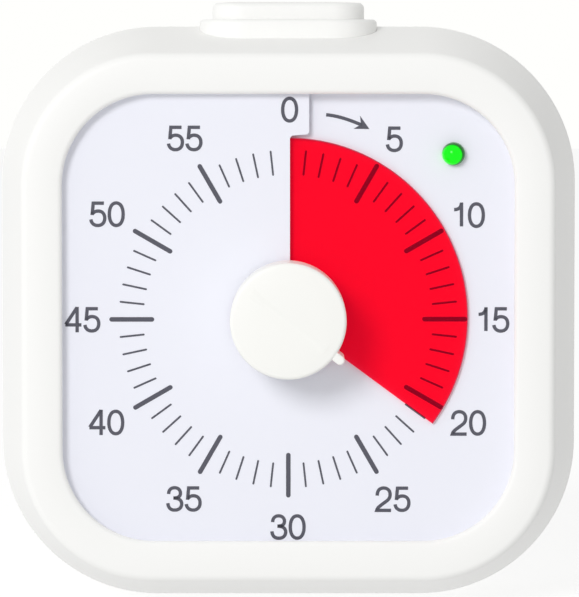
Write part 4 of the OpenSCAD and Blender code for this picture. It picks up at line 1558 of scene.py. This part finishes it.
@dataclass
class TopButton:
    """The button on top and the collar that holds it."""

    rim: float = 2
    gap: float = 0.15
    collar_edge: float = 0.7
    inner_edge: float = 0.25
    cap_edge: float = 0.9
    cap_edge_end: float = 80
    crown: float = 0.12
    crown_part: float = 0.25
    crown_in: Pair = (2.2, 4)
    flange_t: float = 1
    flange_out: float = 1.2
    cage_t: float = 1.2
    cage_w: float = 1
    cap_flange: float = 0.7
    stem_dia: float = 4
    stem_gap: float = 0.05

    def loop(self, grow: float, z: float) -> list[Vector]:
        """A pill loop that lies outside the collar's outline by grow."""
        return pill(COLLAR.wide + 2 * grow, COLLAR.deep + 2 * grow, z, COLLAR.mid)

    def circle(self, r: float, z: float) -> list[Vector]:
        """A circle about the stem with as many points as a pill loop."""
        count = len(self.loop(0, z))
        angles = [TURN * (i / count - 1 / 4) for i in range(count)]
        return [row(r * math.cos(a), COLLAR.mid + r * math.sin(a), z) for a in angles]

    def collar(self) -> None:
        """The collar: a cup held between the shells, with a rounded rim."""
        top, floor, ledge = high("button_collar").z, low("button_collar").z, COLLAR.flange_top
        e, i = self.collar_edge, self.inner_edge
        mouth, cage, under = self.gap - self.rim, self.cage_w - self.rim, ledge - self.flange_t
        hole, base = self.stem_dia / 2 + self.stem_gap, floor + self.cage_t
        section = [(0, floor), (0, under), (self.flange_out, under), (self.flange_out, ledge), (0, ledge)]
        section += arc(-e, top - e, e, 0, 90, steps=8) + arc(mouth + i, top - i, i, 90, 180, steps=5)
        section += [(mouth, ledge), (cage, ledge), (cage, base)]
        loops = [self.loop(grow, z) for grow, z in section] + [self.circle(hole, z) for z in (base, floor)]
        piece = loft("button_collar_fine", loops, ring=True)
        dress(smooth(piece), "case", SHELL_ABS, "button", "button_collar")

    def cap(self) -> None:
        """The button: a pill-shaped cap with a soft edge, a flange and a stem."""
        top, bottom = high("top_button").z, low("top_button").z
        under = COLLAR.flange_top - COLLAR.gap
        e, flange = self.cap_edge, under - self.flange_t
        wide = self.cap_flange - self.rim
        section = [(wide, flange), (wide, under), (-self.rim, under)]
        edge = arc(-e, top - self.crown - e, e, 0, self.cap_edge_end, steps=9)
        section += [(x - self.rim, z) for x, z in edge]
        slope, flat = self.crown_in
        section += [(-self.rim - slope, top - self.crown * self.crown_part), (-self.rim - flat, top)]
        stem = [self.circle(self.stem_dia / 2, z) for z in (bottom, flange)]
        piece = loft("top_button_fine", stem + [self.loop(grow, z) for grow, z in section])
        dress(smooth(piece), "button", SHELL_ABS, "button", "top_button")

    def build(self) -> None:
        """Collar and button."""
        self.collar()
        self.cap()


# ---------------------------------------------------------------- inner pieces and fasteners


@dataclass
class CaseScrews:
    """The four screws that hold the shells together, deep in the rear shell."""

    head_dia: float = 4.4
    head_t: float = 1.56
    shank_dia: float = 2.5
    thread_deep: float = 7
    tip: float = 0.8
    slot_w: float = 0.5
    slot_deep: float = 0.7
    edge: float = 0.25
    crown: float = 0.05
    flat_part: float = 0.6

    def screw(self) -> Object:
        """One screw with its head's underside at the face frame's zero."""
        length, r, shank = SCREWS.boss_floor + self.thread_deep, self.head_dia / 2, self.shank_dia / 2
        top, edge = -self.head_t, self.edge
        profile = [(0, top), (r * self.flat_part, top + self.crown)]
        profile += [(r - edge, top + edge), (r, top + edge + edge), (r, 0)]
        profile += [(shank, 0), (shank, length - self.tip), (shank / 2, length), (0, length)]
        screw = lathe("case_screw", profile, count=32)
        long = self.head_dia * self.flat_part
        shapes = (rectangle(long, self.slot_w), rectangle(self.slot_w, long))
        cross = [prism("slot", shape, top - BITE, top + self.slot_deep) for shape in shapes]
        return smooth(combine(screw, cross, Join.AWAY))

    def build(self) -> None:
        """All four screws as one piece."""
        places = [FACE.place(x, y, CASE.seam - SCREWS.boss_floor) for x, y in SCREWS.places()]
        screws = copies("case_screws_fine", self.screw(), places, ZINC, turn=math.pi / 2, seed=7)
        dress(screws, "case", ZINC, "screw", "case_screws")


@dataclass
class Springs:
    """The button's return spring and the cell's contact spring."""

    wire: float = 0.5
    button_turns: float = 5
    contact_turns: float = 2
    contact_radii: Pair = (3.75, 2.25)
    plate_t: float = 0.5
    plate_bite: float = 0.1

    def wind(self, name: str, turns: float, radii: Pair, length: float, place: Point, tilt: float) -> Object:
        """One coil of the wire.

        Args:
            name: Name of the object.
            turns: Number of turns.
            radii: First and last radius to the middle of the wire.
            length: Length between the middles of its ends.
            place: Where it starts, in metres.
            tilt: Angle in radians from the row frame's Z towards its X.

        Returns:
            The coil.
        """
        values = {
            "Turns": turns,
            "First Radius": radii[0] * MM,
            "Last Radius": radii[1] * MM,
            "Length": length * MM,
            "Wire Radius": self.wire / 2 * MM,
            "Place": place,
            "Rotation": (0, tilt, 0),
        }
        return spring_tool().run(new_object(name), NICKEL, values)

    def button(self) -> None:
        """The button's return spring."""
        bottom, top = low("button_spring"), high("button_spring")
        r = (top.x - bottom.x - self.wire) / 2
        place = (0, middle("button_spring").y * MM, (bottom.z + self.wire / 2) * MM)
        length = top.z - bottom.z - self.wire
        host = self.wind("button_spring_fine", self.button_turns, (r, r), length, place, 0)
        dress(smooth(host, angle=40), "case", NICKEL, "spring_steel", "button_spring")
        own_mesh(host)

    def contact(self) -> None:
        """The contact: a plate with a cone of wire on it."""
        bottom, top = low("contact_spring"), high("contact_spring")
        start = bottom.x + self.plate_t + self.wire / 2 - self.plate_bite
        place = tuple(row(start, BAY.cell.y, BAY.cell.z))
        length = top.x - self.wire / 2 - start
        name = "contact_spring_fine"
        host = self.wind(name, self.contact_turns, self.contact_radii, length, place, math.pi / 2)
        plate = block("plate", tuple(bottom), (self.plate_t, top.y - bottom.y, top.z - bottom.z))
        combine(host, [plate], Join.ON)
        dress(smooth(host, angle=40), "case", NICKEL, "spring_steel", "contact_spring")

    def build(self) -> None:
        """Both springs."""
        self.button()
        self.contact()


@dataclass
class BatteryCell:
    """The cell: a sleeved can with a nub at its end towards +X."""

    nub_dia: float = 5.5
    nub_len: float = 1
    nub_edge: float = 0.25
    edge: float = 0.5

    def build(self) -> None:
        """The cell, turned from the face frame's z to the row frame's X."""
        x0, x1 = low("battery_cell").x, high("battery_cell").x
        end, nub, edge = x1 - self.nub_len, self.nub_dia / 2, self.edge
        barrel = BAY.cell_dia / 2 - edge
        profile = [(0, x0), *arc(barrel, x0 + edge, edge, -90, 0, steps=5)]
        profile += arc(barrel, end - edge, edge, 0, 90, steps=5)
        profile += [(nub, end), (nub, x1 - self.nub_edge), (nub - self.nub_edge, x1), (0, x1)]
        can = lathe("battery_cell_fine", profile, count=64)
        to_x = Matrix(((0, -1, 0), (1, 0, 0), (0, 0, 1))).to_4x4()
        place = Matrix.Translation(row(0, BAY.cell.y, BAY.cell.z))
        can.data.transform(place @ to_x @ Matrix.Translation(-FACE.place(0, 0, 0)))
        dress(smooth(can), "case", SLEEVE, "cell", "battery_cell")


# ---------------------------------------------------------------- light and camera


def shows_room(tree: Tree) -> Node:
    """One for a ray that shows the room itself, straight or in metal and glass, and zero for light."""
    rays = add_node(tree, "ShaderNodeLightPath").outputs
    indirect = {0: rays["Is Glossy Ray"], 1: rays["Is Transmission Ray"]}
    mirrored = add_node(tree, "ShaderNodeMath", indirect, operation="MAXIMUM")
    return add_node(tree, "ShaderNodeMath", {0: rays["Is Camera Ray"], 1: mirrored}, operation="MAXIMUM")


@dataclass(frozen=True)
class PaleFloor(Look):
    """A pale matt floor that takes shadows and lets the room's light through."""

    colour: str
    glow: float

    def surface(self, tree: Tree) -> Node:
        """Matt with a glow where it is seen, and nothing for the light."""
        matt = add_node(tree, "ShaderNodeBsdfDiffuse", {"Color": linear(self.colour)})
        glow = add_node(tree, "ShaderNodeEmission", {"Strength": self.glow})
        shown = add_node(tree, "ShaderNodeAddShader", {0: matt, 1: glow})
        through = add_node(tree, "ShaderNodeBsdfTransparent")
        return add_node(tree, "ShaderNodeMixShader", {"Fac": shows_room(tree), 1: through, 2: shown})


@dataclass
class Studio:
    """White room, one soft key light from the upper left, a pale floor and the camera in front.

    The key's distance and size, the floor's radius and the clip distances are metres.
    """

    room: float = 0.703
    room_tilt: Point = (-0.112, 0.1, -0.1)
    room_white: str = "#fffffd"
    key_share: float = 0.37
    key_way: Point = (-0.45, -1.0, 0.43)
    key_far: float = 2.0
    key_dia: float = 0.75
    floor_r: float = 3.0
    floor_down: float = 0.05
    floor_look: PaleFloor = PaleFloor("pale_floor", "#b4b4b3", 0.65)
    elevation: float = 3.4
    distance: float = 725
    mm_per_px: float = 0.1531
    frame_px: Pair = (579, 597)
    axis_px: Pair = (288.3, 318.4)
    sensor: float = 36
    clip: Pair = (0.01, 10)

    def world(self) -> None:
        """White behind the timer, and a light all round it that is a little stronger on one side."""
        world = bpy.data.worlds.new("white_room")
        bpy.context.scene.world = world
        tree = empty_tree(world)
        way = add_node(tree, "ShaderNodeTexCoord").outputs["Generated"]
        lean = add_node(tree, "ShaderNodeVectorMath", {0: way, 1: self.room_tilt}, operation="DOT_PRODUCT")
        power = add_node(tree, "ShaderNodeMath", {0: lean.outputs["Value"], 1: self.room}, operation="ADD")
        lit = add_node(tree, "ShaderNodeBackground", {"Color": (1, 1, 1, 1), "Strength": power})
        white = add_node(tree, "ShaderNodeBackground", {"Color": linear(self.room_white), "Strength": 1.0})
        both = add_node(tree, "ShaderNodeMixShader", {"Fac": shows_room(tree), 1: lit, 2: white})
        add_node(tree, "ShaderNodeOutputWorld", {"Surface": both})

    def floor(self) -> None:
        """The floor, a hair below the timer."""
        rim = [Vector((x, y, -self.floor_down * MM)) for x, y in ring_of(self.floor_r, count=64)]
        made = plain("floor", rim, [tuple(range(len(rim)))])
        made.data.materials.append(self.floor_look.material())

    def key(self) -> None:
        """The key light, as a disc that faces the dial."""
        way = Vector(self.key_way).normalized()
        data = bpy.data.lights.new("key", "AREA")
        data.shape = "DISK"
        data.size = self.key_dia
        data.energy = self.key_share * math.pi**2 * self.key_far**2 / -way.y
        lamp = bpy.data.objects.new("key", data)
        bpy.context.scene.collection.objects.link(lamp)
        lamp.location = FACE.place(0, 0, 0) + way * self.key_far
        lamp.rotation_euler = way.to_track_quat("Z", "Y").to_euler()

    def camera(self) -> None:
        """The camera, on the dial axis and a little above it."""
        data = bpy.data.cameras.new("front")
        lens = bpy.data.objects.new("front", data)
        bpy.context.scene.collection.objects.link(lens)
        bpy.context.scene.camera = lens
        e = math.radians(self.elevation)
        back = Vector((0, -math.cos(e), math.sin(e)))
        lens.location = FACE.place(0, 0, 0) + back * self.distance * MM
        lens.rotation_euler = back.to_track_quat("Z", "Y").to_euler()
        wide, tall = self.frame_px
        data.sensor_fit = "AUTO"
        data.sensor_width = self.sensor
        data.lens = self.sensor * self.distance / (tall * self.mm_per_px)
        data.shift_x = (wide / 2 - self.axis_px[0]) / tall
        data.shift_y = (self.axis_px[1] - tall / 2) / tall
        data.clip_start, data.clip_end = self.clip

    def build(self) -> None:
        """Light, floor, camera and the plain view transform."""
        self.world()
        self.floor()
        self.key()
        self.camera()
        bpy.context.scene.view_settings.view_transform = "Standard"


def main() -> None:
    """Builds the timer's pieces in order, then the studio."""
    logging.basicConfig(level=logging.INFO, format="%(message)s")
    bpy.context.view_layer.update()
    paint_inner()
    shells = (FrontBezel(), RearCase(), BatteryDoor())
    face = (CARD, DialPrint(), RedFilm(), Knob(), Lamp(), TopButton())
    inside = (BatteryCell(), CaseScrews(), Springs())
    for part in (*shells, *face, *inside, Studio()):
        part.build()


if __name__ == "__main__":
    main()
